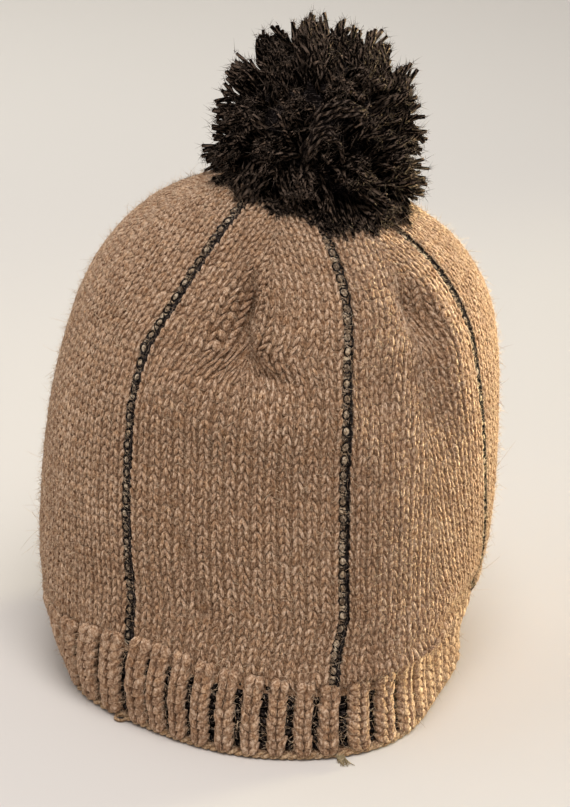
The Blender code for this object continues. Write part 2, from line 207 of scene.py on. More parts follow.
def meshed(name: str, shape: bmesh.types.BMesh) -> bpy.types.Object:
    """Make an object of a bmesh as it is, shaded smooth, and free the bmesh."""
    mesh = bpy.data.meshes.new(name)
    shape.to_mesh(mesh)
    shape.free()
    mesh.shade_smooth()
    return linked(name, mesh)


def finished(name: str, shape: bmesh.types.BMesh) -> bpy.types.Object:
    """Make an object of a bmesh, with its faces outwards and shaded smooth."""
    bmesh.ops.recalc_face_normals(shape, faces=shape.faces)
    if shape.calc_volume(signed=True) < 0:
        bmesh.ops.reverse_faces(shape, faces=shape.faces)
    return meshed(name, shape)


def map_yarn(shape: bmesh.types.BMesh,
             read: Callable[[bmesh.types.BMVert], tuple[float, float]]) -> None:
    """Give a shape the yarn map that its finish reads.

    Args:
        shape: The shape.
        read: Gives a point's place along the yarn and around it.
    """
    yarn = shape.loops.layers.uv.new("yarn")
    for face in shape.faces:
        for loop in face.loops:
            loop[yarn].uv = read(loop.vert)


@dataclass(frozen=True)
class CapForm:
    """Smooth outer surface of the cap, as the solids have it."""

    crown_width: float = 0.178
    crown_depth: float = 0.172
    crown_top: float = 0.199
    rim_width: float = 0.152
    rim_depth: float = 0.180
    band_height: float = 0.033
    edge_height: float = 0.0030
    low: float = 0.28
    middle: float = 0.75
    top: float = 0.95
    top_reach: float = 0.11
    shift: np.ndarray = field(default_factory=lambda: np.zeros(3))
    folds: tuple = FOLDS

    def section(self, level: np.ndarray, column: int) -> np.ndarray:
        """A column of SECTIONS at levels from 0 at the rim to 1 at the top."""
        place = np.clip(np.asarray(level, float), 0, 1) * (len(SECTIONS) - 1)
        return smooth_column(SECTIONS, column, place, False)

    def plan(self, azimuth: np.ndarray, column: int) -> np.ndarray:
        """A column of PLAN at any azimuths."""
        place = (np.asarray(azimuth, float) + 180) / PLAN_STEP
        return smooth_column(PLAN, column, place, True)

    def level_at(self, height: np.ndarray) -> np.ndarray:
        """Levels at which the surface passes these shares of its height."""
        levels = np.linspace(0, 1, 801)
        return np.interp(height, self.section(levels, 0), levels)

    def fold_push(self, azimuth: np.ndarray, height: np.ndarray) -> np.ndarray:
        """How far the folds and dents push the surface outwards."""
        push = np.zeros(np.broadcast(azimuth, height).shape)
        for middle, rise, wide, tall, lean, share in self.folds:
            turn = (azimuth - middle - lean * (height - rise) + 180) % 360 - 180
            push = push + share * np.exp(-(turn / wide) ** 2 - ((height - rise) / tall) ** 2)
        return push * self.crown_width / 2

    def reach(self, azimuth: np.ndarray, level: np.ndarray) -> np.ndarray:
        """Distance of the surface from the middle of its section."""
        angle = np.radians(azimuth)
        across, through = np.sin(angle), np.cos(angle)
        rim = 1 / np.hypot(across / (self.rim_width / 2), through / (self.rim_depth / 2))
        crown = 1 / np.hypot(across / (self.crown_width / 2), through / (self.crown_depth / 2))
        blend, share = self.section(level, 2), self.section(level, 1)
        reach = share * (rim * self.plan(azimuth, 1) * (1 - blend)
                         + crown * self.plan(azimuth, 2) * blend)
        return reach + self.fold_push(azimuth, self.section(level, 0)) * np.minimum(1, share)

    def point(self, azimuth: np.ndarray, level: np.ndarray) -> np.ndarray:
        """Points of the surface."""
        azimuth, level = np.broadcast_arrays(azimuth, level)
        angle, reach = np.radians(azimuth), self.reach(azimuth, level)
        x = self.section(level, 3) * self.crown_width / 2 + np.sin(angle) * reach
        y = self.section(level, 4) * self.crown_depth / 2 - np.cos(angle) * reach
        return np.stack([x, y, self.section(level, 0) * self.crown_top], -1) + self.shift

    def normal(self, azimuth: np.ndarray, level: np.ndarray) -> np.ndarray:
        """Outward directions of the surface."""
        along = self.point(azimuth + 0.5, level) - self.point(azimuth - 0.5, level)
        below, above = np.maximum(level - 0.005, 0), np.minimum(level + 0.005, 0.997)
        return unit(np.cross(along, self.point(azimuth, above) - self.point(azimuth, below)))

    def band_top(self, azimuth: np.ndarray) -> np.ndarray:
        """Heights of the ribbing's top edge."""
        return self.band_height * self.plan(azimuth, 3)

    def stripe(self, index: int, height: np.ndarray) -> np.ndarray:
        """Azimuths of a stripe's middle at shares of the height; they go on past one turn."""
        turns, row = divmod(index, len(PANEL_LINES))
        _, band, low, middle, top = PANEL_LINES[row]
        lowest = self.band_height / self.crown_top
        foot = band + (low - band) * np.clip((height - lowest) / (self.low - lowest), 0, 1)
        rise = np.clip((height - self.low) / (self.middle - self.low), 0, 1)
        body = low + (middle - low) * np.sin(rise * math.pi / 2)
        ending = np.clip((height - self.middle) / (self.top - self.middle), 0, 1)
        upper = middle + (top - middle) * ending
        chosen = np.where(height < self.low, foot, np.where(height < self.middle, body, upper))
        return chosen + 360 * turns

    def rib(self, position: np.ndarray, in_panel: int) -> np.ndarray:
        """Azimuths at the band's top of places in the ribbing, counted in ribs."""
        panel = np.floor(position / in_panel).astype(int)
        share = position / in_panel - panel
        firsts = np.array([row[0] for row in PANEL_LINES])
        start = firsts[panel % len(firsts)] + 360 * (panel // len(firsts))
        end = firsts[(panel + 1) % len(firsts)] + 360 * ((panel + 1) // len(firsts))
        return start * (1 - share) + end * share

    def settled(self, solid: str) -> "CapForm":
        """The same form with its creases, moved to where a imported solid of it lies."""
        levels = np.linspace(float(self.level_at(self.band_height / self.crown_top)), 1, 200)
        grid = self.point(np.linspace(-180, 180, 361)[:, None], levels[None, :])
        low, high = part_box(solid)
        middle = (np.array(low) + np.array(high)) / 2
        moved = middle - (grid.min((0, 1)) + grid.max((0, 1))) / 2
        return CapForm(shift=np.array([moved[0], moved[1], 0.0]), folds=FOLDS + CREASES)


# Shapes and how copies of them are laid


@dataclass
class Form:
    """A small closed shape: points, the corners of its faces, and where each lies on the yarn."""

    points: np.ndarray
    loops: np.ndarray
    starts: np.ndarray
    yarn: np.ndarray

    @classmethod
    def take(cls, shape: bmesh.types.BMesh, axis: int) -> "Form":
        """Read a finished bmesh whose yarn runs along one axis, and free it.

        Args:
            shape: The closed shape.
            axis: 0, 1 or 2, the axis that the yarn runs along.

        Returns:
            The form, with a yarn map of length along and turn about the axis.
        """
        bmesh.ops.recalc_face_normals(shape, faces=shape.faces)
        shape.verts.index_update()
        points = np.array([vert.co for vert in shape.verts])
        side, rise = [number for number in (0, 1, 2) if number != axis]
        span = np.ptp(points[:, axis])
        along = (points[:, axis] - points[:, axis].min()) / span
        around = np.arctan2(points[:, side], points[:, rise]) / (2 * math.pi)
        loops, starts, yarn = [], [], []
        for face in shape.faces:
            starts.append(len(loops))
            corners = [vert.index for vert in face.verts]
            turn = around[corners]
            if np.ptp(turn) > 0.5:
                turn = np.where(turn < 0, turn + 1, turn)
            loops += corners
            yarn += list(zip(along[corners], turn))
        shape.free()
        return cls(points, np.array(loops), np.array(starts), np.array(yarn))

    def bent(self, bend: Callable[[np.ndarray], np.ndarray]) -> "Form":
        """The same form with its points moved."""
        return Form(bend(self.points), self.loops, self.starts, self.yarn)

    def sized(self, size: Triple, shift: Triple = (0.0, 0.0, 0.0)) -> "Form":
        """The same form scaled and then shifted, by X, Y and Z."""
        return self.bent(lambda points: points * np.array(size) + np.array(shift))

    def mirrored(self) -> "Form":
        """The form turned over from side to side, with its faces still outwards."""
        ends = np.append(self.starts[1:], len(self.loops))
        order = np.concatenate([np.arange(a, b)[::-1] for a, b in zip(self.starts, ends)])
        points = self.points * np.array([-1.0, 1.0, 1.0])
        return Form(points, self.loops[order], self.starts, self.yarn[order])

    def with_form(self, other: "Form") -> "Form":
        """Both forms as one."""
        return Form(np.concatenate([self.points, other.points]),
                    np.concatenate([self.loops, other.loops + len(self.points)]),
                    np.concatenate([self.starts, other.starts + len(self.loops)]),
                    np.concatenate([self.yarn, other.yarn]))


def bead(sides: int, rings: int, axis: int = 1) -> Form:
    """A ball of radius one whose poles lie on an axis."""
    shape = bmesh.new()
    bmesh.ops.create_uvsphere(shape, u_segments=sides, v_segments=rings, radius=1.0)
    turn = {0: ("Y", 90), 1: ("X", -90), 2: ("X", 0)}[axis]
    matrix = Matrix.Rotation(math.radians(turn[1]), 3, turn[0])
    bmesh.ops.rotate(shape, verts=shape.verts, matrix=matrix)
    return Form.take(shape, axis)


def tube(sides: int, rings: int, pointed: bool = False) -> Form:
    """A tube of radius one from height 0 to 1, capped below, and capped or pointed above."""
    shape = bmesh.new()
    ring = bmesh.ops.create_circle(shape, cap_ends=True, segments=sides, radius=1.0)["verts"]
    cap = ring[0].link_faces[0]
    for step in range(rings - 1):
        made = bmesh.ops.extrude_face_region(shape, geom=[cap])["geom"]
        if step:
            bmesh.ops.delete(shape, geom=[cap], context="FACES_ONLY")
        cap = next(part for part in made if isinstance(part, bmesh.types.BMFace))
        bmesh.ops.translate(shape, vec=(0, 0, 1 / (rings - 1)), verts=cap.verts)
    if pointed:
        bmesh.ops.pointmerge(shape, verts=list(cap.verts), merge_co=(0, 0, 1))
    return Form.take(shape, 2)


def ring_loop(sides: int, steps: int, thick: float) -> Form:
    """A closed loop of yarn in the plane of X and Y, its middle line a circle of radius one."""
    shape = bmesh.new()
    matrix = Matrix.Translation((1, 0, 0)) @ Matrix.Rotation(math.radians(90), 4, "X")
    bmesh.ops.create_circle(shape, segments=sides, radius=thick, matrix=matrix)
    bmesh.ops.spin(shape, geom=shape.verts[:] + shape.edges[:], axis=(0, 0, 1), cent=(0, 0, 0),
                   steps=steps, angle=math.radians(360), use_merge=True)
    bmesh.ops.remove_doubles(shape, verts=shape.verts, dist=thick * 0.05)
    return Form.take(shape, 2)


@dataclass
class Piece:
    """A mesh joined from copies of a form, and the marks that its finish reads."""

    name: str
    form: Form
    tones: np.ndarray

    def joined(self, points: np.ndarray) -> bpy.types.Object:
        """Make the object.

        Args:
            points: Place of every point of every copy, as copies, points, 3.

        Returns:
            The object, with a yarn map and a tone on each copy.
        """
        copies, count = points.shape[:2]
        corners, faces = len(self.form.loops), len(self.form.starts)
        mesh = bpy.data.meshes.new(self.name)
        mesh.vertices.add(copies * count)
        mesh.vertices.foreach_set("co", points.astype(np.float32).ravel())
        loops = self.form.loops[None, :] + np.arange(copies)[:, None] * count
        mesh.loops.add(copies * corners)
        mesh.loops.foreach_set("vertex_index", loops.ravel().astype(np.int32))
        starts = self.form.starts[None, :] + np.arange(copies)[:, None] * corners
        mesh.polygons.add(copies * faces)
        mesh.polygons.foreach_set("loop_start", starts.ravel().astype(np.int32))
        mesh.update(calc_edges=True)
        yarn = mesh.uv_layers.new(name="yarn")
        places = np.tile(self.form.yarn, (copies, 1))
        yarn.uv.foreach_set("vector", places.astype(np.float32).ravel())
        tone = mesh.attributes.new("tone", "FLOAT", "POINT")
        tone.data.foreach_set("value", np.repeat(self.tones, count).astype(np.float32))
        mesh.shade_smooth()
        return linked(self.name, mesh)


def lay(name: str, form: Form, places: "Places", draw: np.random.Generator) -> bpy.types.Object:
    """Lay copies of a form on places of the cloth and join them.

    Args:
        name: Name of the piece.
        form: Shape in units of one cell across and along, and metres outwards.
        places: Where the copies go.
        draw: Source of each copy's tone.

    Returns:
        The joined object.
    """
    x, y, z = (form.points[None, :, number, None] for number in range(3))
    points = (places.middle[:, None] + places.across[:, None] * x + places.along[:, None] * y
              + places.out[:, None] * z)
    return Piece(name, form, draw.random(len(places.middle))).joined(points)


def lay_on_paths(name: str, form: Form, paths: np.ndarray, widths: np.ndarray,
                 tones: np.ndarray) -> bpy.types.Object:
    """Bend copies of a tube along paths and join them.

    Args:
        name: Name of the piece.
        form: A tube whose rings are as many as each path's points.
        paths: Points of the paths, as copies, points, 3.
        widths: Radius at each point of each path.
        tones: Tone of each copy.

    Returns:
        The joined object.
    """
    count = paths.shape[1]
    ahead = unit(np.gradient(paths, axis=1))
    first = unit(paths[:, -1] - paths[:, 0])
    lean = np.where(np.abs(first[:, 2:3]) < 0.8, [[0, 0, 1.0]], [[0, 1.0, 0]])
    side = unit(np.cross(ahead, lean[:, None, :]))
    rise = np.cross(ahead, side)
    ring = np.rint(form.points[:, 2] * (count - 1)).astype(int)
    x, y = form.points[None, :, 0, None], form.points[None, :, 1, None]
    spread = widths[:, ring, None]
    points = paths[:, ring] + (side[:, ring] * x - rise[:, ring] * y) * spread
    return Piece(name, form, tones).joined(points)


@dataclass
class Places:
    """Where copies go on the cloth: middle, one cell across, one cell along, and outwards."""

    middle: np.ndarray
    across: np.ndarray
    along: np.ndarray
    out: np.ndarray

    @classmethod
    def on_cells(cls, place: Callable[[np.ndarray, np.ndarray], np.ndarray], across: np.ndarray,
                 along: np.ndarray, turned: bool = False) -> "Places":
        """Measure the cells round places given in cells across and along.

        Args:
            place: Gives points of the cloth from counts across and along.
            across: Count across of each cell's middle.
            along: Count along of each cell's middle.
            turned: Whether the count across grows towards -X as seen from outside.

        Returns:
            The places, with the outward direction of length one.
        """
        side = place(across + 0.5, along) - place(across - 0.5, along)
        if turned:
            side = -side
        up = place(across, along + 0.5) - place(across, along - 0.5)
        return cls(place(across, along), side, up, unit(np.cross(side, up)))

    def kept(self, keep: np.ndarray) -> "Places":
        """The places that a mask keeps."""
        return Places(self.middle[keep], self.across[keep], self.along[keep], self.out[keep])

    def jittered(self, draw: np.random.Generator, share: float, turn: float = 0.0,
                 lift: float = 0.0) -> "Places":
        """The places with small faults, as in real knitting.

        Args:
            draw: Source of the faults.
            share: Usual shift and change of size, in cells.
            turn: Usual turn, in radians.
            lift: Usual shift outwards, in metres.

        Returns:
            The changed places.
        """
        count = len(self.middle)
        offset, swell = draw.normal(0, share, (2, count, 2))
        angle, rise = draw.normal(0, turn, (count, 1)), draw.normal(0, lift, (count, 1))
        moved = self.middle + self.across * offset[:, :1] + self.along * offset[:, 1:]
        across = self.across + np.cross(self.out, self.across) * angle
        along = self.along + np.cross(self.out, self.along) * angle
        return Places(moved + self.out * rise, across * (1 + swell[:, :1]),
                      along * (1 + swell[:, 1:]), self.out)

    @staticmethod
    def together(parts: list["Places"]) -> "Places":
        """Several sets of places as one."""
        return Places(*(np.concatenate([getattr(part, name) for part in parts])
                        for name in ("middle", "across", "along", "out")))


# Finishes


class Signal:
    """One socket of a material, with arithmetic that adds Math nodes."""

    def __init__(self, dresser: "Dresser", socket: bpy.types.NodeSocket) -> None:
        """Wrap a socket of a dresser's tree."""
        self.dresser = dresser
        self.socket = socket

    def _math(self, operation: str, first: "float | Signal", second: "float | Signal") -> "Signal":
        """A Math node of two values."""
        node = self.dresser.node("ShaderNodeMath", {"operation": operation}, {0: first, 1: second})
        return Signal(self.dresser, node.outputs[0])

    def __add__(self, other: "float | Signal") -> "Signal":
        """Sum."""
        return self._math("ADD", self, other)

    __radd__ = __add__

    def __mul__(self, other: "float | Signal") -> "Signal":
        """Product."""
        return self._math("MULTIPLY", self, other)

    __rmul__ = __mul__

    def __sub__(self, other: "float | Signal") -> "Signal":
        """Difference."""
        return self._math("SUBTRACT", self, other)

    def __rsub__(self, other: "float | Signal") -> "Signal":
        """Difference from a number."""
        return self._math("SUBTRACT", other, self)

    def __pow__(self, power: float) -> "Signal":
        """Power."""
        return self._math("POWER", self, power)

    def sine(self) -> "Signal":
        """Sine of the value in radians."""
        return self._math("SINE", self, 0.0)

    def clamped(self) -> "Signal":
        """The value held between 0 and 1."""
        node = self.dresser.node("ShaderNodeClamp", {}, {"Value": self})
        return Signal(self.dresser, node.outputs[0])


class Dresser:
    """A material's node tree, with one method that makes any node."""

    def __init__(self, name: str) -> None:
        """Start a material with its Principled shader."""
        self.material = bpy.data.materials.new(name)
        self.material.use_nodes = True
        self.tree = self.material.node_tree
        self.shader = self.tree.nodes["Principled BSDF"]

    def node(self, kind: str, settings: dict, inputs: dict) -> bpy.types.Node:
        """Add a node.

        Args:
            kind: The node's type.
            settings: Its settings by name, or a ramp's stops under "stops".
            inputs: Values or links of its sockets, by name or number.

        Returns:
            The node.
        """
        node = self.tree.nodes.new(kind)
        for name, value in settings.items():
            if name == "stops":
                self._set_stops(node.color_ramp, value)
            else:
                setattr(node, name, value)
        for name, value in inputs.items():
            self.feed(node.inputs[name], value)
        return node

    def feed(self, socket: bpy.types.NodeSocket, value: object) -> None:
        """Set a socket's value, or link it."""
        if isinstance(value, Signal):
            self.tree.links.new(value.socket, socket)
        elif isinstance(value, bpy.types.NodeSocket):
            self.tree.links.new(value, socket)
        else:
            socket.default_value = value

    @staticmethod
    def _set_stops(ramp: bpy.types.ColorRamp, stops: list[tuple[float, Colour]]) -> None:
        """Set a ramp's stops."""
        while len(ramp.elements) < len(stops):
            ramp.elements.new(1.0)
        for element, (place, colour) in zip(ramp.elements, stops):
            element.position = place
            element.color = tinted(colour)

    def noise(self, vector: object, scale: float, detail: float = 2.0) -> Signal:
        """Soft noise with its middle at one half."""
        node = self.node("ShaderNodeTexNoise", {},
                         {"Vector": vector, "Scale": scale, "Detail": detail})
        return Signal(self, node.outputs[0])

    def mixed(self, factor: object, first: object, second: object, blend: str = "MIX") -> object:
        """Two colours mixed."""
        node = self.node("ShaderNodeMix", {"data_type": "RGBA", "blend_type": blend},
                         {0: factor, 6: first, 7: second})
        return node.outputs[2]

    def attribute(self, name: str) -> Signal:
        """A mark on the piece's points."""
        node = self.node("ShaderNodeAttribute", {"attribute_name": name}, {})
        return Signal(self, node.outputs[2])

    def split(self, vector: object) -> tuple[Signal, Signal]:
        """The first two parts of a vector."""
        node = self.node("ShaderNodeSeparateXYZ", {}, {0: vector})
        return Signal(self, node.outputs[0]), Signal(self, node.outputs[1])

    def joined(self, *parts: "float | Signal") -> bpy.types.NodeSocket:
        """A vector of three parts."""
        return self.node("ShaderNodeCombineXYZ", {}, dict(enumerate(parts))).outputs[0]

    def shaded(self, values: dict) -> bpy.types.Material:
        """The material, with these values or links in its shader's sockets."""
        for name, value in values.items():
            self.feed(self.shader.inputs[name], value)
        return self.material


@dataclass(frozen=True)
class WoolFinish:
    """Heathered wool yarn: fibres along the yarn, flecks, and patches over the cloth."""

    name: str
    deep: Colour
    body: Colour
    light: Colour
    warm: Colour = (1.00, 0.82, 0.58)
    fleck_scale: float = 1250.0
    patch_scale: float = 38.0
    streaks: float = 2.3
    flecks: float = 2.2
    tones: float = 0.24
    patches: float = 0.28
    plies: float = 0.05
    ply_turns: float = 2.0
    fibre_run: float = 1.4
    fibre_twist: float = 0.22
    fibre_grain: float = 12.0
    hue_scale: float = 9
    warm_share: float = 0.6
    roughness: float = 0.95
    sheen: float = 0.55
    shine: float = 0.12
    bump: float = 0.8
    relief: float = 0.0008
    # Share of painted shade: the yarn darkens towards a strand's root, as the shade deep inside
    # the pompom
    root: float = 0.0

    def material(self) -> bpy.types.Material:
        """Build the material."""
        work = Dresser(self.name)
        yarn = work.node("ShaderNodeUVMap", {"uv_map": "yarn"}, {}).outputs[0]
        place = work.node("ShaderNodeTexCoord", {}, {}).outputs["Object"]
        along, around = work.split(yarn)
        tone = work.attribute("tone")
        fibre = work.joined(along * self.fibre_run + tone * 41.0,
                            (around + along * self.fibre_twist) * self.fibre_grain, tone * 17.0)
        streaks = work.noise(fibre, 1.0, 3.0)
        flecks = work.noise(place, self.fleck_scale, 2.0)
        patches = work.noise(place, self.patch_scale, 3.0)
        plies = ((around * 2.0 + along * self.ply_turns) * (2 * math.pi)).sine()
        value = (0.5 + (streaks - 0.5) * self.streaks + (flecks - 0.5) * self.flecks
                 + (tone - 0.5) * self.tones + (patches - 0.5) * self.patches
                 + plies * self.plies).clamped()
        stops = [(0.0, self.deep), (0.5, self.body), (1.0, self.light)]
        ramp = work.node("ShaderNodeValToRGB", {"stops": stops}, {"Fac": value})
        hue = work.noise(place, self.patch_scale * self.hue_scale, 2.0)
        warmth = ((hue - 0.44) * 3.0).clamped() * self.warm_share
        colour = work.mixed(warmth, ramp.outputs[0], tinted(self.warm), "MULTIPLY")
        # Painted shade: the colour goes to the deep colour towards a strand's root, where the
        # inside of the pompom lies in shade
        if self.root > 0:
            near = (1 - along ** 3.0).clamped() * self.root
            colour = work.mixed(near, colour, tinted(self.deep))
        height = streaks + flecks * 0.6 + plies * (self.plies * 2)
        bump = work.node("ShaderNodeBump", {},
                         {"Strength": self.bump, "Distance": self.relief, "Height": height})
        return work.shaded({"Base Color": colour, "Roughness": self.roughness,
                            "Specular IOR Level": self.shine, "Sheen Weight": self.sheen,
                            "Sheen Roughness": 0.5, "Sheen Tint": tinted(self.light),
                            "Normal": bump.outputs[0]})


@dataclass(frozen=True)
class PlainFinish:
    """A matt painted surface for the floor."""

    name: str
    colour: Colour
    roughness: float = 0.8

    def material(self) -> bpy.types.Material:
        """Build the material."""
        return Dresser(self.name).shaded({"Base Color": tinted(self.colour),
                                          "Roughness": self.roughness})


class Slot(Enum):
    """The record's material slots."""

    TAN = "tan_wool"
    DARK = "dark_wool"
    BROWN = "brown_wool"


TAN_YARN = WoolFinish("tan_yarn", (0.165, 0.087, 0.048), (0.385, 0.235, 0.147),
                      (0.680, 0.495, 0.360))
# Backing behind the stitches: a tan a little darker than TAN_YARN, as painted shade in the gaps
# between stitches
TAN_BACK_SHADED = WoolFinish("tan_back_shaded", (0.130, 0.068, 0.036), (0.330, 0.198, 0.120),
                      (0.560, 0.395, 0.275))
# Loose fibres, paler than the yarn: their own colour, and partly a painted highlight for light
# shining through the fuzz
TAN_HAIR_HIGHLIGHT = WoolFinish("tan_hair_highlight", (0.220, 0.125, 0.072), (0.520, 0.360, 0.240),
                      (0.850, 0.680, 0.500), streaks=0.0, tones=0.9, bump=0.0)
EDGE_YARN = WoolFinish("edge_yarn", (0.160, 0.088, 0.044), (0.380, 0.245, 0.140),
                       (0.660, 0.480, 0.320), ply_turns=0.0)
TUFT_YARN = WoolFinish("tuft_yarn", (0.170, 0.125, 0.060), (0.370, 0.285, 0.160),
                       (0.600, 0.490, 0.330))
DARK_YARN = WoolFinish("dark_yarn", (0.002, 0.0015, 0.0015), (0.008, 0.006, 0.006),
                       (0.075, 0.060, 0.055), sheen=0.05, shine=0.03)
DARK_HAIR = WoolFinish("dark_hair", (0.003, 0.002, 0.002), (0.010, 0.008, 0.007),
                       (0.050, 0.040, 0.034), streaks=0.0, tones=0.9, sheen=0.05, bump=0.0)
BEAD_YARN = WoolFinish("bead_yarn", (0.085, 0.056, 0.038), (0.255, 0.185, 0.130),
                       (0.620, 0.500, 0.370), tones=0.8)
# The pompom's yarn; its root of 0.97 paints shade on the strands towards the core
BROWN_YARN = WoolFinish("brown_yarn", (0.0008, 0.0006, 0.0005), (0.0028, 0.0019, 0.0016),
                        (0.175, 0.124, 0.096), patch_scale=48.0, patches=1.7, plies=0.45,
                        ply_turns=6.0, sheen=0.05, shine=0.02, root=0.97)
ARCH_YARN = WoolFinish("arch_yarn", (0.004, 0.003, 0.003), (0.026, 0.018, 0.015),
                       (0.120, 0.088, 0.070), plies=0.45, ply_turns=9.0, sheen=0.10, shine=0.02)
BROWN_HAIR = WoolFinish("brown_hair", (0.012, 0.008, 0.006), (0.048, 0.034, 0.027),
                        (0.150, 0.112, 0.088), streaks=0.0, tones=0.9, bump=0.0, sheen=0.15)


# Sub-assemblies


@dataclass
class Cloth:
    """What every part of the knitting shares."""

    form: CapForm
    draw: np.random.Generator
    made: list[bpy.types.Object] = field(default_factory=list)

    def dress(self, piece: bpy.types.Object, material: bpy.types.Material, slot: Slot,
              *nodes: str) -> None:
        """Finish a piece and tie it to the frame.

        Args:
            piece: The piece.
            material: Its finish.
            slot: The record's slot; not used.
            nodes: The solids that it stands for.
        """
        piece.data.materials.append(material)
        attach(piece, "root")
        if nodes:
            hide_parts(*nodes)
        self.made.append(piece)


@dataclass(frozen=True)
class Stitch:
    """A knit stitch: two plump legs that meet below, in cells and in metres outwards."""

    foot: float = 0.185
    head: float = 0.410
    half: float = 0.195
    start: float = -0.66
    length: float = 1.32
    thick: float = 0.00100
    sink: float = 0.0003
    lift: float = 0.0003
    crown: float = 0.0
    swell: float = 0.5
    curve: float = 1.2
    slant: float = 0.08

    def form(self) -> Form:
        """Both legs."""
        def bend(points: np.ndarray) -> np.ndarray:
            side, along, out = points.T
            fullness = np.sqrt(1 + self.swell * along ** 2)
            rise = (along + 1) / 2
            x = (self.foot + (self.head - self.foot) * rise ** self.curve
                 + side * fullness * self.half)
            y = self.start + self.length * rise + side * self.slant
            z = (self.lift + self.thick * out * fullness - self.sink * rise ** 2
                 - self.crown * x ** 2)
            return np.stack([x, y, z], -1)

        leg = bead(5, 4).bent(bend)
        return leg.with_form(leg.mirrored())


RIB_SIDE = Stitch(foot=0.125, head=0.285, half=0.205, start=-0.75, length=1.55, thick=0.00140,
                  sink=0.0010, lift=0.0009, crown=0.0080)
RIB_TOP = Stitch(foot=0.270, head=0.115, half=0.220, start=-0.80, length=1.40, thick=0.00150,
                 sink=0.0013, lift=0.0011, crown=0.0080)


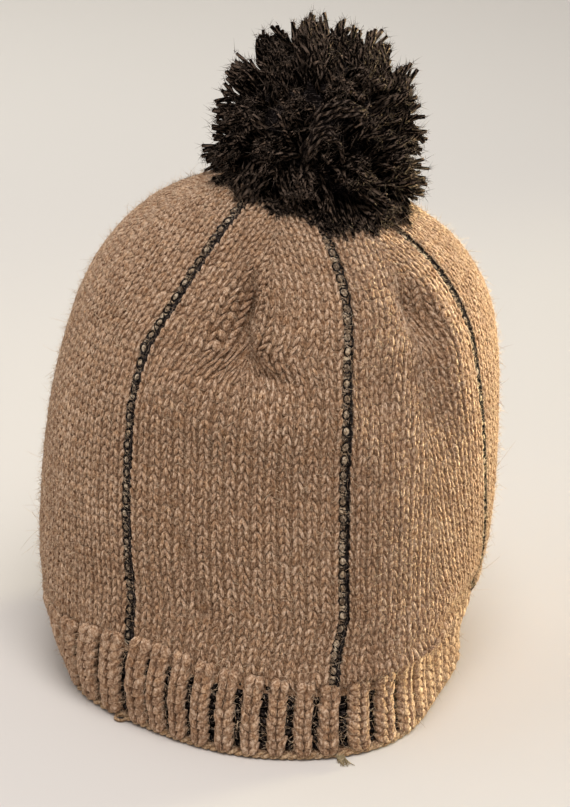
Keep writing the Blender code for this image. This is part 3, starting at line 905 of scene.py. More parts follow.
@dataclass
class Crown(Cloth):
    """Stocking stitch of the crown, panel by panel, on a plain backing."""

    stitch_width: float = 0.0050
    row_height: float = 0.0034
    least_pitch: float = 0.90
    last_reach: float = 0.24
    dart_blend: float = 0.30
    dart_offset: float = 0.25
    least_cell: float = 0.22
    stripe_room: float = 0.0036
    backing_inset: float = 0.0001
    backing_wall: float = 0.0028
    backing_columns: int = 144
    backing_rows: int = 60
    foot_sink: float = 0.0017
    faults: Triple = (0.035, 0.055, 0.00010)

    def __post_init__(self) -> None:
        """Measure the rows up a mean line of the crown."""
        foot = float(self.form.level_at(self.form.band_height / self.form.crown_top))
        levels = np.linspace(foot, 1, 600)
        reach = self.form.section(levels, 1) * (self.form.crown_width + self.form.crown_depth) / 4
        rises = np.diff(self.form.section(levels, 0)) * self.form.crown_top
        climb = np.hypot(np.diff(reach), rises)
        self.foot = foot
        self.rises = np.concatenate([[0], np.cumsum(climb)])
        self.levels = levels
        last = float(np.interp(-self.last_reach, -self.form.section(levels, 1), levels))
        self.rows = int(np.interp(last, levels, self.rises) / self.row_height)

    def level(self, azimuth: np.ndarray, row: np.ndarray) -> np.ndarray:
        """Levels of a row, which follows the band's uneven top and evens out above."""
        base = np.interp(row * self.row_height, self.rises, self.levels)
        own_foot = self.form.level_at(self.form.band_top(azimuth) / self.form.crown_top)
        return base + (own_foot - self.foot) * (1 - base) / (1 - self.foot)

    def panel_width(self, panel: int, level: np.ndarray) -> tuple:
        """Azimuths of a panel's two stripes at a level, and its reach and width."""
        height = self.form.section(level, 0)
        start, end = self.form.stripe(panel, height), self.form.stripe(panel + 1, height)
        reach = self.form.reach((start + end) / 2, level)
        return start, end, reach, np.radians(end - start) * reach - self.stripe_room

    def wales(self, panel: int) -> int:
        """Number of stitches across a panel, the same on both halves."""
        levels = np.linspace(self.foot, 0.8, 40)
        widest = self.panel_width(panel, levels)[3].max()
        return 2 * round(widest / 2 / self.stitch_width)

    def place(self, panel: int, right: bool, across: np.ndarray, row: np.ndarray) -> tuple:
        """Azimuths and levels of places counted in stitches from one of a panel's stripes.

        The stitches keep their width where the panel narrows, and run into a dart along its
        middle, where the last one of each half gets narrower until it ends.

        Args:
            panel: Number of the panel.
            right: Whether the count starts at the panel's right-hand stripe.
            across: Stitches in from that stripe.
            row: Rows up from the band.

        Returns:
            The azimuths, the levels, the distance from the stripe, and a stitch's full width.
        """
        wales = self.wales(panel)
        azimuth = np.full(np.shape(across), self.form.stripe(panel, 0.5) + 30.0)
        for _ in range(ROUNDS):
            level = self.level(azimuth, row)
            start, end, reach, width = self.panel_width(panel, level)
            pitch = np.maximum(width / wales, self.stitch_width * self.least_pitch)
            excess = np.clip((wales * pitch - width) / 2, 0, pitch)
            limit = width / 2 + (-1 if right else 1) * self.dart_offset * excess
            blend = self.dart_blend * excess + 1e-6
            over = np.clip((across * pitch - limit) / blend, -40, 40)
            inward = across * pitch - blend * np.log1p(np.exp(over))
            turn = np.degrees((self.stripe_room / 2 + inward) / reach)
            azimuth = end - turn if right else start + turn
        return azimuth, level, inward, pitch

    def panel_places(self, panel: int) -> Places:
        """Cells of a panel's stitches, without those past the dart in its middle."""
        parts = []
        for right in (False, True):
            def point(across: np.ndarray, row: np.ndarray, right: bool = right) -> np.ndarray:
                azimuth, level, _, _ = self.place(panel, right, across, row)
                return self.form.point(azimuth, level)

            wale, row = np.meshgrid(np.arange(self.wales(panel) // 2) + 0.5,
                                    np.arange(self.rows) + 0.5)
            wale, row = wale.ravel(), row.ravel()
            near, pitch = self.place(panel, right, wale - 0.5, row)[2:]
            far = self.place(panel, right, wale + 0.5, row)[2]
            cells = Places.on_cells(point, wale, row, right)
            cells.middle -= cells.out * (self.foot_sink * np.exp(-row))[:, None]
            parts.append(cells.kept(far - near > self.least_cell * pitch))
        return Places.together(parts)

    def build(self) -> None:
        """Build the panels and the backing."""
        tan, back = TAN_YARN.material(), TAN_BACK_SHADED.material()
        form = Stitch().form()
        for panel in range(len(PANEL_LINES)):
            places = self.panel_places(panel).jittered(self.draw, *self.faults)
            piece = lay(f"crown_panel_{panel + 1}", form, places, self.draw)
            self.dress(piece, tan, Slot.TAN, "crown")
        # The backing's darker tan is painted shade in the gaps between the stitches
        self.dress(self.backing(), back, Slot.TAN, "crown")

    def backing(self) -> bpy.types.Object:
        """Closed shell behind the stitches, whose inside is the inside of the cap."""
        columns, rows = self.backing_columns, self.backing_rows
        shell = bmesh.new()
        bmesh.ops.create_grid(shell, x_segments=columns, y_segments=rows, size=0.5)
        flat = np.array([vert.co for vert in shell.verts])
        azimuth = flat[:, 0] * 360
        shares = self.form.section(self.levels, 1)
        top = float(np.interp(-self.form.top_reach, -shares, self.levels))
        own_foot = self.form.level_at(self.form.band_top(azimuth) / self.form.crown_top)
        level = own_foot + (top - own_foot) * (flat[:, 1] + 0.5)
        points = self.form.point(azimuth, level)
        inset = self.backing_inset + self.foot_sink * 0.6 * np.exp(-(flat[:, 1:2] + 0.5) * rows)
        points -= self.form.normal(azimuth, level) * inset
        map_yarn(shell, lambda vert: (flat[vert.index, 1] * rows, flat[vert.index, 0] * columns))
        for vert, point in zip(shell.verts, points):
            vert.co = point
        bmesh.ops.remove_doubles(shell, verts=shell.verts, dist=0.00001)
        highest = max(vert.co.z for vert in shell.verts)
        opening = [edge for edge in shell.edges if edge.is_boundary
                   and edge.verts[0].co.z > highest - 0.02]
        bmesh.ops.holes_fill(shell, edges=opening, sides=0)
        bmesh.ops.recalc_face_normals(shell, faces=shell.faces)
        first = shell.faces[0]
        if first.normal.dot(first.calc_center_median() - Vector((0, 0, 0.1))) < 0:
            bmesh.ops.reverse_faces(shell, faces=shell.faces)
        bmesh.ops.solidify(shell, geom=shell.faces[:], thickness=self.backing_wall)
        return finished("crown_backing", shell)


@dataclass
class Stripes(Crown):
    """Contrast stripes: a dark line with hooks, and beside it tan beads in dark loops."""

    bead_pitch: float = 0.0053
    loop_wide: float = 0.00138
    loop_tall: float = 0.00180
    yarn: float = 0.00027
    line: float = 0.00060
    line_place: float = 0.00140
    line_steps: int = 220
    line_sway: float = 0.00024
    line_swell: float = 0.18
    swell_pitch: float = 0.0021
    fade_rise: float = 0.55
    fade_blend: float = 0.04
    loop_place: float = -0.00040
    loop_lift: float = 0.00035
    bead_size: Triple = (0.00126, 0.00166, 0.00105)
    bead_faults: Triple = (0.00016, 0.24, 0.00015)
    bed_size: Triple = (0.00150, 0.00170, 0.00095)
    bed_shift: Triple = (-0.0002, 0.0, -0.0002)
    hairs: int = 900
    hair_thick: float = 0.000065

    def cell(self, stripe: int, aside: float, rise: np.ndarray) -> Places:
        """Places along a stripe, in metres across and along.

        Args:
            stripe: Number of the stripe.
            aside: Metres to the right of the stripe's middle.
            rise: Metres up the stripe.

        Returns:
            The places.
        """
        def point(across: np.ndarray, along: np.ndarray) -> np.ndarray:
            azimuth = np.full(np.shape(along), float(self.form.stripe(stripe, 0.3)))
            for _ in range(ROUNDS):
                level = self.level(azimuth, along / self.row_height)
                azimuth = self.form.stripe(stripe, self.form.section(level, 0))
                azimuth = azimuth + np.degrees(across / self.form.reach(azimuth, level))
            return self.form.point(azimuth, level)

        aside = np.full(len(rise), aside)
        step = 0.001
        side = (point(aside + step, rise) - point(aside - step, rise)) / (2 * step)
        up = (point(aside, rise + step) - point(aside, rise - step)) / (2 * step)
        return Places(point(aside, rise), unit(side), unit(up), unit(np.cross(side, up)))

    def build(self) -> None:
        """Build each stripe's dark yarn and its beads."""
        dark, tan, hair = DARK_YARN.material(), BEAD_YARN.material(), DARK_HAIR.material()
        end = self.rows * self.row_height
        count = int(end / self.bead_pitch)
        ball = bead(6, 5).sized(self.bead_size)
        bed = bead(6, 5).sized(self.bed_size, self.bed_shift)
        hook = bead(5, 4, 0).bent(self.hooked)
        for stripe, (beads, loops, thick, fade) in enumerate(STRIPE_YARNS):
            loop = ring_loop(5, 8, self.yarn * loops / self.loop_wide)
            loop = loop.sized((self.loop_wide, self.loop_tall, self.loop_wide),
                              (0.0, 0.0, self.loop_lift))
            rise = (np.arange(count) + 0.5) * self.bead_pitch
            rise = rise + self.draw.normal(0, 0.0003, count)
            at = self.cell(stripe, self.loop_place, rise).jittered(self.draw, *self.bead_faults)
            self.put("loops", stripe, loop, at, dark, Slot.DARK)
            self.put("beads", stripe, ball.sized((beads, beads, 1.0)), at, tan, Slot.TAN)
            self.add_line(stripe, end, thick, fade, dark)
            between = (np.arange(count + 1)) * self.bead_pitch
            seats = self.cell(stripe, self.loop_place, between).jittered(self.draw, 0.0002, 0.12)
            self.put("beds", stripe, bed, seats, tan, Slot.TAN)
            seats = seats.jittered(self.draw, 0.0002, 0.30)
            self.put("hooks", stripe, hook, seats, dark, Slot.DARK)
            self.add_hairs(stripe, end, hair)

    def put(self, kind: str, stripe: int, form: Form, at: Places, finish: bpy.types.Material,
            slot: Slot) -> None:
        """Lay copies of a form along a stripe.

        Args:
            kind: What the copies are, for the piece's name.
            stripe: Number of the stripe.
            form: Shape of a copy.
            at: Where the copies go.
            finish: Their finish.
            slot: The record's slot.
        """
        piece = lay(f"stripe_{kind}_{stripe + 1}", form, at, self.draw)
        self.dress(piece, finish, slot, f"stripe_{stripe + 1}")

    def add_line(self, stripe: int, end: float, thick: float, fade: float,
                 finish: bpy.types.Material) -> None:
        """Add the dark yarn that runs up a stripe beside its beads.

        Args:
            stripe: Number of the stripe.
            end: Length of the stripe.
            thick: Thickness of the line, as a share of the usual one.
            fade: Share of the thickness that the lower part lacks.
            finish: Its finish.
        """
        rise = np.linspace(0.0005, end, self.line_steps)
        path = self.cell(stripe, self.line_place, rise)
        sway = np.sin(rise / self.bead_pitch * 2 * math.pi)[:, None] * self.line_sway
        line = path.middle + path.across * sway + path.out * 0.0001
        swell = self.line_swell * np.sin(rise / self.swell_pitch * 2 * math.pi)
        widths = self.line * thick * (1 + swell)
        below = 1 + np.exp((self.fade_rise - rise / end) / self.fade_blend)
        widths = widths * (1 - fade / below)
        piece = lay_on_paths(f"stripe_line_{stripe + 1}", tube(6, self.line_steps), line[None],
                             widths[None], np.array([0.5]))
        self.dress(piece, finish, Slot.DARK, f"stripe_{stripe + 1}")

    @staticmethod
    def hooked(points: np.ndarray) -> np.ndarray:
        """A thin slanting thread of a hook, bent over the yarn below it."""
        side = points[:, 0]
        return np.stack([0.0015 * side + 0.0002, 0.00027 * points[:, 1] - 0.0006 * side,
                         0.0003 * points[:, 2] + 0.0006 - 0.0003 * side ** 2], -1)

    def add_hairs(self, stripe: int, end: float, finish: bpy.types.Material) -> None:
        """Short dark fibres over a stripe, some of them across its beads."""
        rise = self.draw.uniform(0.001, end, self.hairs)
        aside = self.draw.normal(self.line_place * 0.6, 0.0010, self.hairs)
        seat = self.cell(stripe, 0.0, rise)
        bases = seat.middle + seat.across * aside[:, None] + seat.out * 0.0006
        turn = self.draw.uniform(0, 2 * math.pi, (self.hairs, 1))
        ahead = seat.across * np.cos(turn) + seat.along * np.sin(turn)
        ahead = unit(ahead + seat.out * self.draw.uniform(0.05, 0.8, (self.hairs, 1)))
        length = self.draw.uniform(0.0012, 0.0028, (self.hairs, 1))
        paths = np.stack([bases, bases + ahead * length], 1)
        widths = np.full((self.hairs, 2), self.hair_thick)
        piece = lay_on_paths(f"stripe_hairs_{stripe + 1}", tube(3, 2, True), paths, widths,
                             self.draw.random(self.hairs))
        self.dress(piece, finish, Slot.DARK, f"stripe_{stripe + 1}")


@dataclass
class Band(Cloth):
    """Corrugated ribbing: tan stitch columns, dark purl channels and the cast-on edge."""

    in_panel: int = 8
    rib_rows: int = 8
    first_row: float = 0.42
    top_row: float = 0.30
    narrow: float = 0.92
    widen: float = 0.22
    narrow_middle: float = 8.0
    narrow_reach: float = 34.0
    channel_inset: float = 0.0021
    purl_size: Triple = (0.17, 0.42, 0.0010)
    edge_steps: int = 720
    cord_turns: float = 1.5
    cord_swing: float = 0.00075
    cord_bounce: float = 0.00070
    cord_inset: float = 0.0006
    cord_drop: float = 0.0014
    cord_thick: float = 0.00085
    loop_azimuth: float = -40.0
    loose_loop: float = 0.0021
    loop_thick: float = 0.00065
    loop_steps: int = 14
    end_azimuth: float = 16.5
    end_fibres: int = 26
    end_length: float = 0.0085

    @property
    def ribs(self) -> int:
        """Number of ribs round the band."""
        return self.in_panel * len(PANEL_LINES)

    def point(self, position: np.ndarray, share: np.ndarray, inset: float = 0.0) -> np.ndarray:
        """Points of the band: ribs round from the first, and share of the way up a rib."""
        azimuth = self.form.rib(position, self.in_panel)
        foot = self.form.edge_height
        height = foot + (self.form.band_top(azimuth) - foot) * share
        azimuth = azimuth + self.form.plan(azimuth, 4) * (1 - share)
        level = self.form.level_at(height / self.form.crown_top)
        angle = np.radians(azimuth)
        out = np.stack([np.sin(angle), -np.cos(angle), 0 * angle], -1)
        return self.form.point(azimuth, level) - out * inset

    def build(self) -> None:
        """Build the ribs, the channels and the edge."""
        tan, back, dark = TAN_YARN.material(), TAN_BACK_SHADED.material(), DARK_YARN.material()
        rows = self.rib_rows
        for name, form, first, count in (
                ("rib_stitches", RIB_SIDE.form(), self.first_row, rows),
                ("rib_tops", RIB_TOP.form(), rows + self.top_row, 1)):
            rib, row = np.meshgrid(np.arange(self.ribs, dtype=float), np.arange(count) + first)
            rib, row = rib.ravel(), row.ravel()
            places = Places.on_cells(lambda across, along: self.point(across, along / rows),
                                     rib, row)
            aside = (self.form.rib(rib, self.in_panel) - self.narrow_middle + 180) % 360 - 180
            spread = self.narrow + self.widen * (1 - np.exp(-(aside / self.narrow_reach) ** 2))
            places.across *= spread[:, None]
            places = places.jittered(self.draw, 0.02, 0.04, 0.00008)
            self.dress(lay(name, form, places, self.draw), tan, Slot.TAN, "rib_band")
        # The rib backing takes the darker backing tan, painted shade between the rib stitches
        self.dress(self.copied("rib_band", "rib_backing"), back, Slot.TAN, "rib_band")
        self.dress(self.copied("rib_channels", "channel_backing"), dark, Slot.DARK, "rib_channels")
        purl = bead(6, 4, 0).sized(self.purl_size)
        rib, row = np.meshgrid(np.arange(self.ribs) + 0.5, np.arange(rows) + 0.5)
        places = Places.on_cells(
            lambda across, along: self.point(across, along / rows, self.channel_inset),
            rib.ravel(), row.ravel()).jittered(self.draw, 0.04)
        self.dress(lay("channel_purls", purl, places, self.draw), dark, Slot.DARK, "rib_channels")
        self.build_edge()

    def build_edge(self) -> None:
        """Cast-on edge: two yarns twisted round each other, with a small loop and a frayed end."""
        edge = EDGE_YARN.material()
        turn = np.linspace(0, self.ribs, self.edge_steps, endpoint=False)
        paths = []
        for strand in (0.0, math.pi):
            phase = turn * 2 * math.pi * self.cord_turns + strand
            base = self.point(turn, 0 * turn)
            out = unit(base * np.array([1.0, 1.0, 0.0]))
            swing = self.cord_swing * np.cos(phase) - self.cord_inset
            bounce = self.cord_bounce * np.sin(phase) - self.cord_drop
            paths.append(base + out * swing[:, None] + np.array([0, 0, 1.0]) * bounce[:, None])
        paths = np.stack(paths)
        paths = np.concatenate([paths, paths[:, :1]], axis=1)
        widths = np.full(paths.shape[:2], self.cord_thick)
        cord = lay_on_paths("edge_cord", tube(6, paths.shape[1]), paths, widths,
                            np.array([0.4, 0.7]))
        self.dress(cord, edge, Slot.TAN, "cast_on_edge")
        # The edge backing takes the darker backing tan, painted shade behind the cord
        backing = self.copied("cast_on_edge", "edge_backing")
        self.dress(backing, TAN_BACK_SHADED.material(), Slot.TAN, "cast_on_edge")
        self.build_loose_ends()

    def at_rim(self, azimuth: float, aside: np.ndarray, out: np.ndarray,
               height: np.ndarray) -> np.ndarray:
        """Points near the rim, in metres along it, outwards from it and above the floor."""
        level = float(self.form.level_at(0.0))
        middle = self.form.point(np.array(azimuth), np.array(level))
        outward = np.array([math.sin(math.radians(azimuth)), -math.cos(math.radians(azimuth)), 0])
        along = np.array([-outward[1], outward[0], 0])
        spot = middle + aside[..., None] * along + out[..., None] * outward
        spot[..., 2] = height
        return spot

    def build_loose_ends(self) -> None:
        """A slack loop of the edge's yarn, and the frayed end of the yarn beside the front."""
        steps, size = self.loop_steps, self.loose_loop
        sweep = np.radians(np.linspace(235, -55, steps))
        loop = self.at_rim(self.loop_azimuth, size * np.cos(sweep), size * (0.75 + np.sin(sweep)),
                           np.full(steps, 0.0009))
        piece = lay_on_paths("loose_loop", tube(6, steps), loop[None],
                             np.full((1, steps), self.loop_thick), np.array([0.5]))
        self.dress(piece, EDGE_YARN.material(), Slot.TAN)
        count, points = self.end_fibres, 6
        share = np.linspace(0, 1, points)[None, :]
        fan = np.radians(self.draw.normal(0, 10, (count, 1))) * share
        length = self.end_length * (0.55 + 0.45 * self.draw.random((count, 1)))
        aside = length * share * np.sin(fan) + self.draw.normal(0, 0.0006, (count, 1))
        out = length * share * np.cos(fan) - 0.0006
        height = 0.0016 * (1 - share) ** 2 + 0.0004 + 0.0010 * self.draw.random((count, 1)) * share
        paths = self.at_rim(self.end_azimuth, aside, out, height)
        widths = np.full((count, points), 0.00024) * (1 - 0.4 * share)
        piece = lay_on_paths("yarn_end", tube(5, points), paths, widths, self.draw.random(count))
        self.dress(piece, TUFT_YARN.material(), Slot.TAN)

    def copied(self, node: str, name: str) -> bpy.types.Object:
        """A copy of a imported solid, merged and given a yarn map, to lie behind the stitches."""
        shape = bmesh.new()
        shape.from_mesh(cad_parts[node].data)
        bmesh.ops.remove_doubles(shape, verts=shape.verts, dist=0.000001)
        for layer in list(shape.loops.layers.uv.values()):
            shape.loops.layers.uv.remove(layer)
        map_yarn(shape, lambda vert: (vert.co.z / 0.004, math.atan2(vert.co.x, -vert.co.y) * 16))
        return finished(name, shape)


@dataclass
class Pompom(Cloth):
    """Ball of cut yarn: strands from a core, clumped, draped on the crown below."""

    width: float = 0.083
    rise: float = 0.061
    shift: float = 0.0105
    fullness: float = 2.5
    base: float = 0.85
    hang: float = 0.66
    strands: int = 3100
    clumps: int = 80
    hollow: float = 0.22
    droop: float = 0.018
    yarn: float = 0.00098
    points: int = 6
    taper: float = 0.30
    seat: float = 0.0016
    lowest: float = -0.62
    root_reach: float = 0.25
    least_pull: float = 0.35
    more_pull: float = 0.28
    strand_spread: float = 0.06
    clump_spread: float = 0.08
    curl: float = 0.0026
    clump_curl: float = 0.0020
    swerve: float = 0.0024
    most_swerve: float = 0.0032
    sag: float = 0.0015
    hang_azimuth: float = 30
    hang_wide: float = 40
    hang_length: float = 0.30
    core_share: float = 0.70
    arch_steps: int = 16
    arch_reach: float = 0.965
    arch_thick: float = 0.00072

    @property
    def centre(self) -> np.ndarray:
        """Middle of the ball."""
        top = self.form.crown_top + self.rise
        offset = SECTIONS[-1][3] * self.form.crown_width / 2 + self.shift
        return np.array([offset, 0.0, top - self.rise * self.base]) + self.form.shift

    def scaled(self, directions: np.ndarray) -> np.ndarray:
        """Points of the ball's outer form in these directions."""
        up = np.where(directions[..., 2:] > 0, self.rise * self.base, self.width * self.hang)
        flat = np.full(up.shape, self.width / 2)
        level = np.hypot(directions[..., :1], directions[..., 1:2])
        power = level ** self.fullness + np.abs(directions[..., 2:]) ** self.fullness
        full = np.where(directions[..., 2:] > 0, power ** (-1 / self.fullness), 1.0)
        return directions * full * np.concatenate([flat, flat, up], -1)

    def dome(self, points: np.ndarray) -> np.ndarray:
        """Height of the crown's surface under points near its top."""
        low, high = np.full(points.shape[:-1], 0.5), np.ones(points.shape[:-1])
        for _ in range(24):
            level = (low + high) / 2
            x = points[..., 0] - self.form.shift[0] - (self.form.section(level, 3)
                                                       * self.form.crown_width / 2)
            y = points[..., 1] - self.form.shift[1] - (self.form.section(level, 4)
                                                       * self.form.crown_depth / 2)
            azimuth = np.degrees(np.arctan2(x, -y))
            inside = np.hypot(x, y) < self.form.reach(azimuth, level)
            low, high = np.where(inside, level, low), np.where(inside, high, level)
        return self.form.section(low, 0) * self.form.crown_top

    def directions(self, count: int) -> np.ndarray:
        """Even directions over the ball, without the part that lies on the crown."""
        place = np.arange(count) + 0.5
        height = 1 - 2 * place / count
        turn = place * math.pi * (3 - math.sqrt(5))
        flat = np.sqrt(1 - height ** 2)
        spread = np.stack([flat * np.cos(turn), flat * np.sin(turn), height], -1)
        return spread[height > self.lowest]

    def build(self) -> None:
        """Build the strands, the arches over them and the core."""
        brown = BROWN_YARN.material()
        tips = unit(self.directions(self.strands) + self.draw.normal(0, 0.03, (1, 3)))
        tips = unit(tips + self.draw.normal(0, 0.05, tips.shape))
        clumps = unit(self.directions(self.clumps) + self.draw.normal(0, 0.06, (1, 3)))
        nearest = np.argmax(tips @ clumps.T, axis=1)
        pull = self.least_pull + self.more_pull * self.draw.random(len(tips))[:, None]
        ends = unit(tips * (1 - pull) + clumps[nearest] * pull)
        length = self.lengths(tips, clumps, nearest)
        paths = self.strand_paths(tips, ends, clumps, nearest, length)
        taper = 1.0 - self.taper * self.shares ** 8
        thick = self.yarn * (0.8 + 0.4 * self.draw.random(len(tips)))
        piece = lay_on_paths("pompom_strands", tube(4, self.points), paths,
                             thick[:, None] * taper[None, :], self.draw.random(len(tips)))
        self.dress(piece, brown, Slot.BROWN, "pompom")
        self.tips, self.headings = paths[:, -1], unit(paths[:, -1] - paths[:, -2])
        self.build_arches()
        self.build_core()

    @property
    def shares(self) -> np.ndarray:
        """Places of a strand's points along it, from 0 to 1."""
        return np.linspace(0, 1, self.points) ** 0.75

    def lengths(self, tips: np.ndarray, clumps: np.ndarray, nearest: np.ndarray) -> np.ndarray:
        """Lengths of the strands, as shares of the ball's reach.

        Args:
            tips: Directions of the strands where they start.
            clumps: Directions of the clumps.
            nearest: Number of each strand's clump.

        Returns:
            The lengths, shorter between the clumps.
        """
        least, more = 1 - self.strand_spread, self.strand_spread
        length = least + more * self.draw.random(len(tips)) ** 0.5
        least, more = 1 - self.clump_spread, self.clump_spread
        length = length * (least + more * self.draw.random(len(clumps))[nearest])
        apart = np.linalg.norm(tips - clumps[nearest], axis=1)
        return length * (1 - self.hollow * (apart / apart.max()) ** 2)

    def strand_paths(self, tips: np.ndarray, ends: np.ndarray, clumps: np.ndarray,
                     nearest: np.ndarray, length: np.ndarray) -> np.ndarray:
        """Paths of the strands, which lean to their clumps and hang over the crown's front.

        Args:
            tips: Directions of the strands where they start.
            ends: Directions of their ends.
            clumps: Directions of the clumps.
            nearest: Number of each strand's clump.
            length: Length of each strand, as a share of the ball's reach.

        Returns:
            Points of the paths, as strands, points, 3.
        """
        azimuth = np.degrees(np.arctan2(ends[:, 0], -ends[:, 1]))
        aside = (azimuth - self.hang_azimuth) / self.hang_wide
        hanging = np.exp(-aside ** 2) * np.clip(0.2 - ends[:, 2], 0, 1)
        length = length * (1 + self.hang_length * hanging)
        share = self.shares
        turned = share[None, :, None] ** 1.5
        heading = unit(tips[:, None] * (1 - turned) + ends[:, None] * turned)
        reach = self.root_reach + (length[:, None] - self.root_reach) * share[None, :]
        bow = np.sin(share * math.pi)[None, :, None]
        curl = self.draw.normal(0, self.curl, (len(tips), 1, 3)) * bow
        swerve = self.draw.normal(0, self.swerve, (len(tips), 1, 3))
        swerve = np.clip(swerve, -self.most_swerve, self.most_swerve)
        curl = curl + swerve * share[None, :, None] ** 3
        curl = curl + self.draw.normal(0, self.clump_curl, (len(clumps), 1, 3))[nearest] * bow
        paths = self.centre + self.scaled(heading) * reach[..., None] + curl
        paths[..., 2] -= (self.sag + self.droop * hanging[:, None]) * share[None, :] ** 2
        paths[..., 2] = np.maximum(paths[..., 2], self.dome(paths) + self.seat)
        return paths

    def build_core(self) -> None:
        """Dark ball inside the strands."""
        core = bmesh.new()
        bmesh.ops.create_icosphere(core, subdivisions=4, radius=1.0)
        flat = unit(np.array([vert.co for vert in core.verts]))
        spots = self.centre + self.scaled(flat) * self.core_share
        spots[..., 2] = np.maximum(spots[..., 2], self.dome(spots) + self.seat * 0.5)
        map_yarn(core, lambda vert: (0.0, vert.co.z * 12))
        for vert, spot in zip(core.verts, spots):
            vert.co = spot
        self.dress(finished("pompom_core", core), DARK_YARN.material(), Slot.BROWN, "pompom")

    def build_arches(self) -> None:
        """Uncut strands that lie in arches over the front of the ball."""
        paths = []
        for across, rise, half, height, lean in ARCHES:
            share = np.linspace(-1, 1, self.arch_steps)
            for strand in range(3):
                x = across + half * share + strand * 0.020
                z = rise + height * (1 - share ** 2) + lean * share - strand * 0.034
                heading = np.stack([x, -np.sqrt(1 - x ** 2 - z ** 2), z], -1)
                reach = self.arch_reach - 0.26 * share ** 4 - 0.010 * strand
                wave = 0.0005 * np.sin(share[:, None] * np.array([9.0, 7.0, 11.0]) + strand * 2)
                paths.append(self.centre + self.scaled(heading) * reach[:, None] + wave)
        paths = np.stack(paths)
        widths = np.full(paths.shape[:2], self.arch_thick)
        piece = lay_on_paths("pompom_arches", tube(6, self.arch_steps), paths, widths,
                             self.draw.random(len(paths)))
        self.dress(piece, ARCH_YARN.material(), Slot.BROWN, "pompom")


@dataclass(frozen=True)
class Hairs:
    """One kind of loose fibre: how many, their usual length, steepness, points and thickness."""

    name: str
    count: int
    length: float
    lift: float
    points: int
    thick: float = 1.0


CAP_HAIRS = (
    Hairs("cap_fuzz", 12000, 0.0040, 0.45, 3),
    Hairs("cap_down", 42000, 0.0020, 1.0, 2, 1.4),
    Hairs("cap_long_hairs", 450, 0.0065, 0.8, 6),
)
TIP_HAIRS = Hairs("pompom_fuzz", 16000, 0.0024, 1.2, 2, 1.5)


@dataclass
class Fuzz(Cloth):
    """Loose fibres that stand off the wool."""

    width: float = 0.000060
    taper: float = 0.6
    aside: float = 0.45
    outwards: float = 0.22
    shortest: float = 0.3
    longest: float = 1.8

    def build(self, pompom: Pompom) -> None:
        """Build the fuzz of the cap and of the pompom.

        Args:
            pompom: The finished pompom, whose strands' ends the fuzz grows from.
        """
        # The cap's fuzz is paler than its yarn, partly as a painted highlight
        tan, brown = TAN_HAIR_HIGHLIGHT.material(), BROWN_HAIR.material()
        for hairs in CAP_HAIRS:
            bases, outs = self.spread(hairs.count)
            self.scatter(hairs, bases, outs, tan, Slot.TAN)
        count = TIP_HAIRS.count
        chosen = self.draw.integers(0, len(pompom.tips), count)
        bases = pompom.tips[chosen] + self.draw.normal(0, 0.0004, (count, 3))
        self.scatter(TIP_HAIRS, bases, pompom.headings[chosen], brown, Slot.BROWN)

    def spread(self, count: int) -> tuple[np.ndarray, np.ndarray]:
        """Random places even over the cap, and the outward directions there."""
        levels = np.linspace(float(self.form.level_at(0.012)), 0.985, 500)
        reach = self.form.section(levels, 1) * self.form.crown_width / 2
        height = self.form.section(levels, 0) * self.form.crown_top
        rise = np.hypot(np.gradient(reach), np.gradient(height))
        area = np.cumsum(rise * reach)
        level = np.interp(self.draw.random(count) * area[-1], area, levels)
        azimuth = self.draw.uniform(-180, 180, count)
        out = self.form.normal(azimuth, level)
        depth = self.draw.uniform(0, 0.0008, (count, 1))
        return self.form.point(azimuth, level) + out * depth, out

    def scatter(self, hairs: Hairs, bases: np.ndarray, outs: np.ndarray,
                material: bpy.types.Material, slot: Slot) -> None:
        """Build hairs on given points.

        Args:
            hairs: Their kind.
            bases: Roots of the hairs.
            outs: Outward directions at the roots.
            material: Their finish.
            slot: The record's slot.
        """
        count = len(bases)
        flat = unit(np.cross(outs, self.draw.normal(0, 1, (count, 3))))
        steep = hairs.lift * self.draw.gamma(1.6, 0.6, (count, 1))
        start = unit(flat + outs * steep)
        curl = (np.cross(outs, flat) * self.draw.normal(0, self.aside, (count, 1))
                + outs * self.draw.normal(0, self.outwards, (count, 1)))
        scale = np.clip(self.draw.gamma(4.0, 0.25, count), self.shortest, self.longest)
        size = hairs.length * scale[:, None, None]
        share = np.linspace(0, 1, hairs.points)[None, :, None]
        paths = bases[:, None] + (start[:, None] * share + curl[:, None] * share ** 2) * size
        paths = paths[paths[..., 2].min(1) > self.width * 2]
        count = len(paths)
        widths = self.width * hairs.thick * (0.7 + 0.6 * self.draw.random((count, 1)))
        widths = widths * (1 - self.taper * share[..., 0])
        piece = lay_on_paths(hairs.name, tube(3, hairs.points, True), paths, widths,
                             self.draw.random(count))
        self.dress(piece, material, slot)


AIM_HEIGHT = 0.107


@dataclass(frozen=True)
class Lamp:
    """Soft four-sided light: its size in metres, its power in watts, its beam in degrees."""

    name: str
    place: Triple
    target: Triple
    size: tuple[float, float]
    power: float
    colour: Colour
    spread: float = 180

    def build(self) -> None:
        """Build the light, turned to its target."""
        light = bpy.data.lights.new(self.name, "AREA")
        light.energy = self.power
        light.shape = "RECTANGLE"
        light.size, light.size_y = self.size
        light.spread = math.radians(self.spread)
        light.color = self.colour
        lamp = linked(self.name, light)
        lamp.location = self.place
        aim = Vector(self.target) - Vector(self.place)
        lamp.rotation_euler = aim.to_track_quat("-Z", "Y").to_euler()


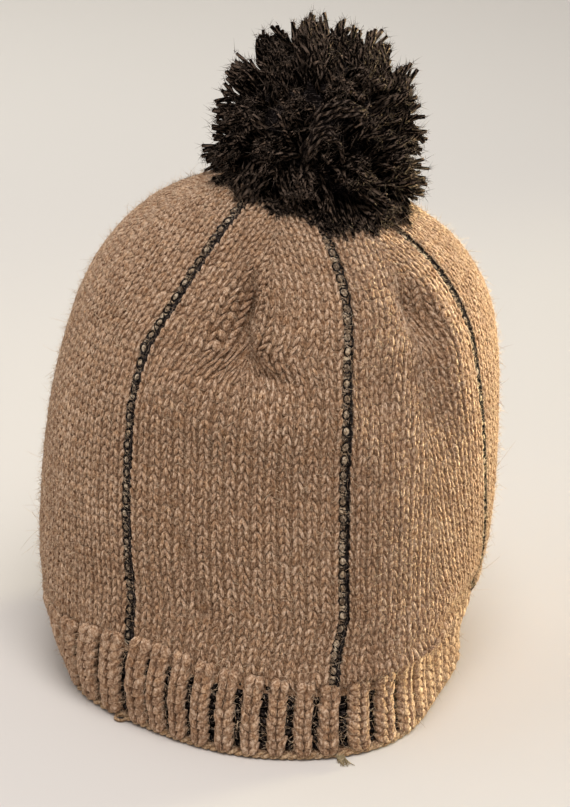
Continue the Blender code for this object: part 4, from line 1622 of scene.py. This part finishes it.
LAMPS = (
    Lamp("key", (0.15, -0.9, 2.0), (0.0, 0.0, AIM_HEIGHT), (1.0, 1.0), 34.5, (1.0, 0.97, 0.94)),
    Lamp("side", (1.36, 0.90, 0.16), (0.0, 0.0, 1.8 * AIM_HEIGHT), (0.9, 0.20), 4.4,
         (1.0, 0.94, 0.60), 22),
    Lamp("fill", (-1.4, -0.4, 1.1), (0.0, 0.0, AIM_HEIGHT), (1.2, 1.2), 5.0, (1.0, 0.97, 0.96)),
    Lamp("back", (-0.8, 0.80, 1.3), (0.0, 1.5, 0.1), (1.0, 1.0), 5.2, (0.97, 0.98, 0.88), 120),
)


@dataclass
class Studio:
    """Floor, backdrop, lights and camera."""

    form: CapForm
    elevation: float = math.radians(20.5)
    roll: float = math.radians(3.0)
    distance: float = 0.870
    view_height: float = math.radians(20.5)
    floor: PlainFinish = PlainFinish("pale_floor", (0.660, 0.625, 0.600))
    air: Colour = (0.96, 0.95, 0.92)
    air_strength: float = 0.45
    half_width: float = 4.0
    front: float = -3.0
    back: float = 1.6
    bend: float = 0.7
    wall: float = 2.5

    def build(self) -> None:
        """Build everything round the cap."""
        self.build_sweep()
        self.build_camera()
        for lamp in LAMPS:
            lamp.build()
        bpy.context.scene.view_settings.view_transform = "Standard"
        world = bpy.data.worlds.new("studio")
        world.use_nodes = True
        shade = world.node_tree.nodes["Background"]
        shade.inputs["Color"].default_value = tinted(self.air)
        shade.inputs["Strength"].default_value = self.air_strength
        bpy.context.scene.world = world

    def build_sweep(self) -> None:
        """Floor that curves up into a backdrop."""
        sweep = bmesh.new()
        start = sweep.verts.new((-self.half_width, self.front, 0.0))
        end = sweep.verts.new((self.half_width, self.front, 0.0))
        near = [sweep.edges.new((start, end))]
        verts, line = self.drawn_out(sweep, near, (0, self.back - self.front, 0))
        bmesh.ops.spin(sweep, geom=verts + line, cent=(0, self.back, self.bend), axis=(1, 0, 0),
                       angle=math.radians(90), steps=24)
        top = [edge for edge in sweep.edges if edge.is_boundary
               and min(vert.co.z for vert in edge.verts) > self.bend - 0.01]
        self.drawn_out(sweep, top, (0, 0, self.wall))
        bmesh.ops.recalc_face_normals(sweep, faces=sweep.faces)
        floor = meshed("sweep", sweep)
        floor.data.materials.append(self.floor.material())

    @staticmethod
    def drawn_out(sheet: bmesh.types.BMesh, edges: list, way: Triple) -> tuple[list, list]:
        """Extrude edges of a sheet and move them along a way.

        Args:
            sheet: The sheet.
            edges: The edges that are extruded.
            way: How far the new ones are moved.

        Returns:
            The new points and the new edges.
        """
        made = bmesh.ops.extrude_edge_only(sheet, edges=edges)["geom"]
        verts = [part for part in made if isinstance(part, bmesh.types.BMVert)]
        bmesh.ops.translate(sheet, vec=way, verts=verts)
        return verts, [part for part in made if isinstance(part, bmesh.types.BMEdge)]

    def build_camera(self) -> None:
        """Camera at the photograph's angle."""
        ahead = Vector((0, math.cos(self.elevation), -math.sin(self.elevation)))
        rise = Vector((0, math.sin(self.elevation), math.cos(self.elevation)))
        side = Vector((1, 0, 0))
        right = side * math.cos(self.roll) + rise * math.sin(self.roll)
        up = rise * math.cos(self.roll) - side * math.sin(self.roll)
        aim = Vector((self.form.shift[0], self.form.shift[1], AIM_HEIGHT))
        view = bpy.data.cameras.new("view")
        view.sensor_fit = "VERTICAL"
        view.sensor_height = 24.0
        view.lens = view.sensor_height / 2 / math.tan(self.view_height / 2)
        camera = linked("view", view)
        turn = Matrix((right, up, -ahead)).transposed().to_4x4()
        camera.matrix_world = Matrix.Translation(aim - ahead * self.distance) @ turn
        bpy.context.scene.camera = camera


def main() -> None:
    """Build the cap and its studio, and report each piece."""
    logging.basicConfig(level=logging.INFO, format="%(message)s")
    form = CapForm().settled("crown")
    draw = np.random.default_rng(SEED)
    crown, stripes, band = Crown(form, draw), Stripes(form, draw), Band(form, draw)
    pompom, fuzz = Pompom(form, draw), Fuzz(form, draw)
    for part in (crown, stripes, band, pompom):
        part.build()
    fuzz.build(pompom)
    for part in (crown, stripes, band, pompom, fuzz):
        for piece in part.made:
            triangles = sum(len(face.vertices) - 2 for face in piece.data.polygons)
            LOG.info("%s: %d triangles", piece.name, triangles)
    Studio(form).build()
    bpy.context.view_layer.update()


if __name__ == "__main__":
    main()
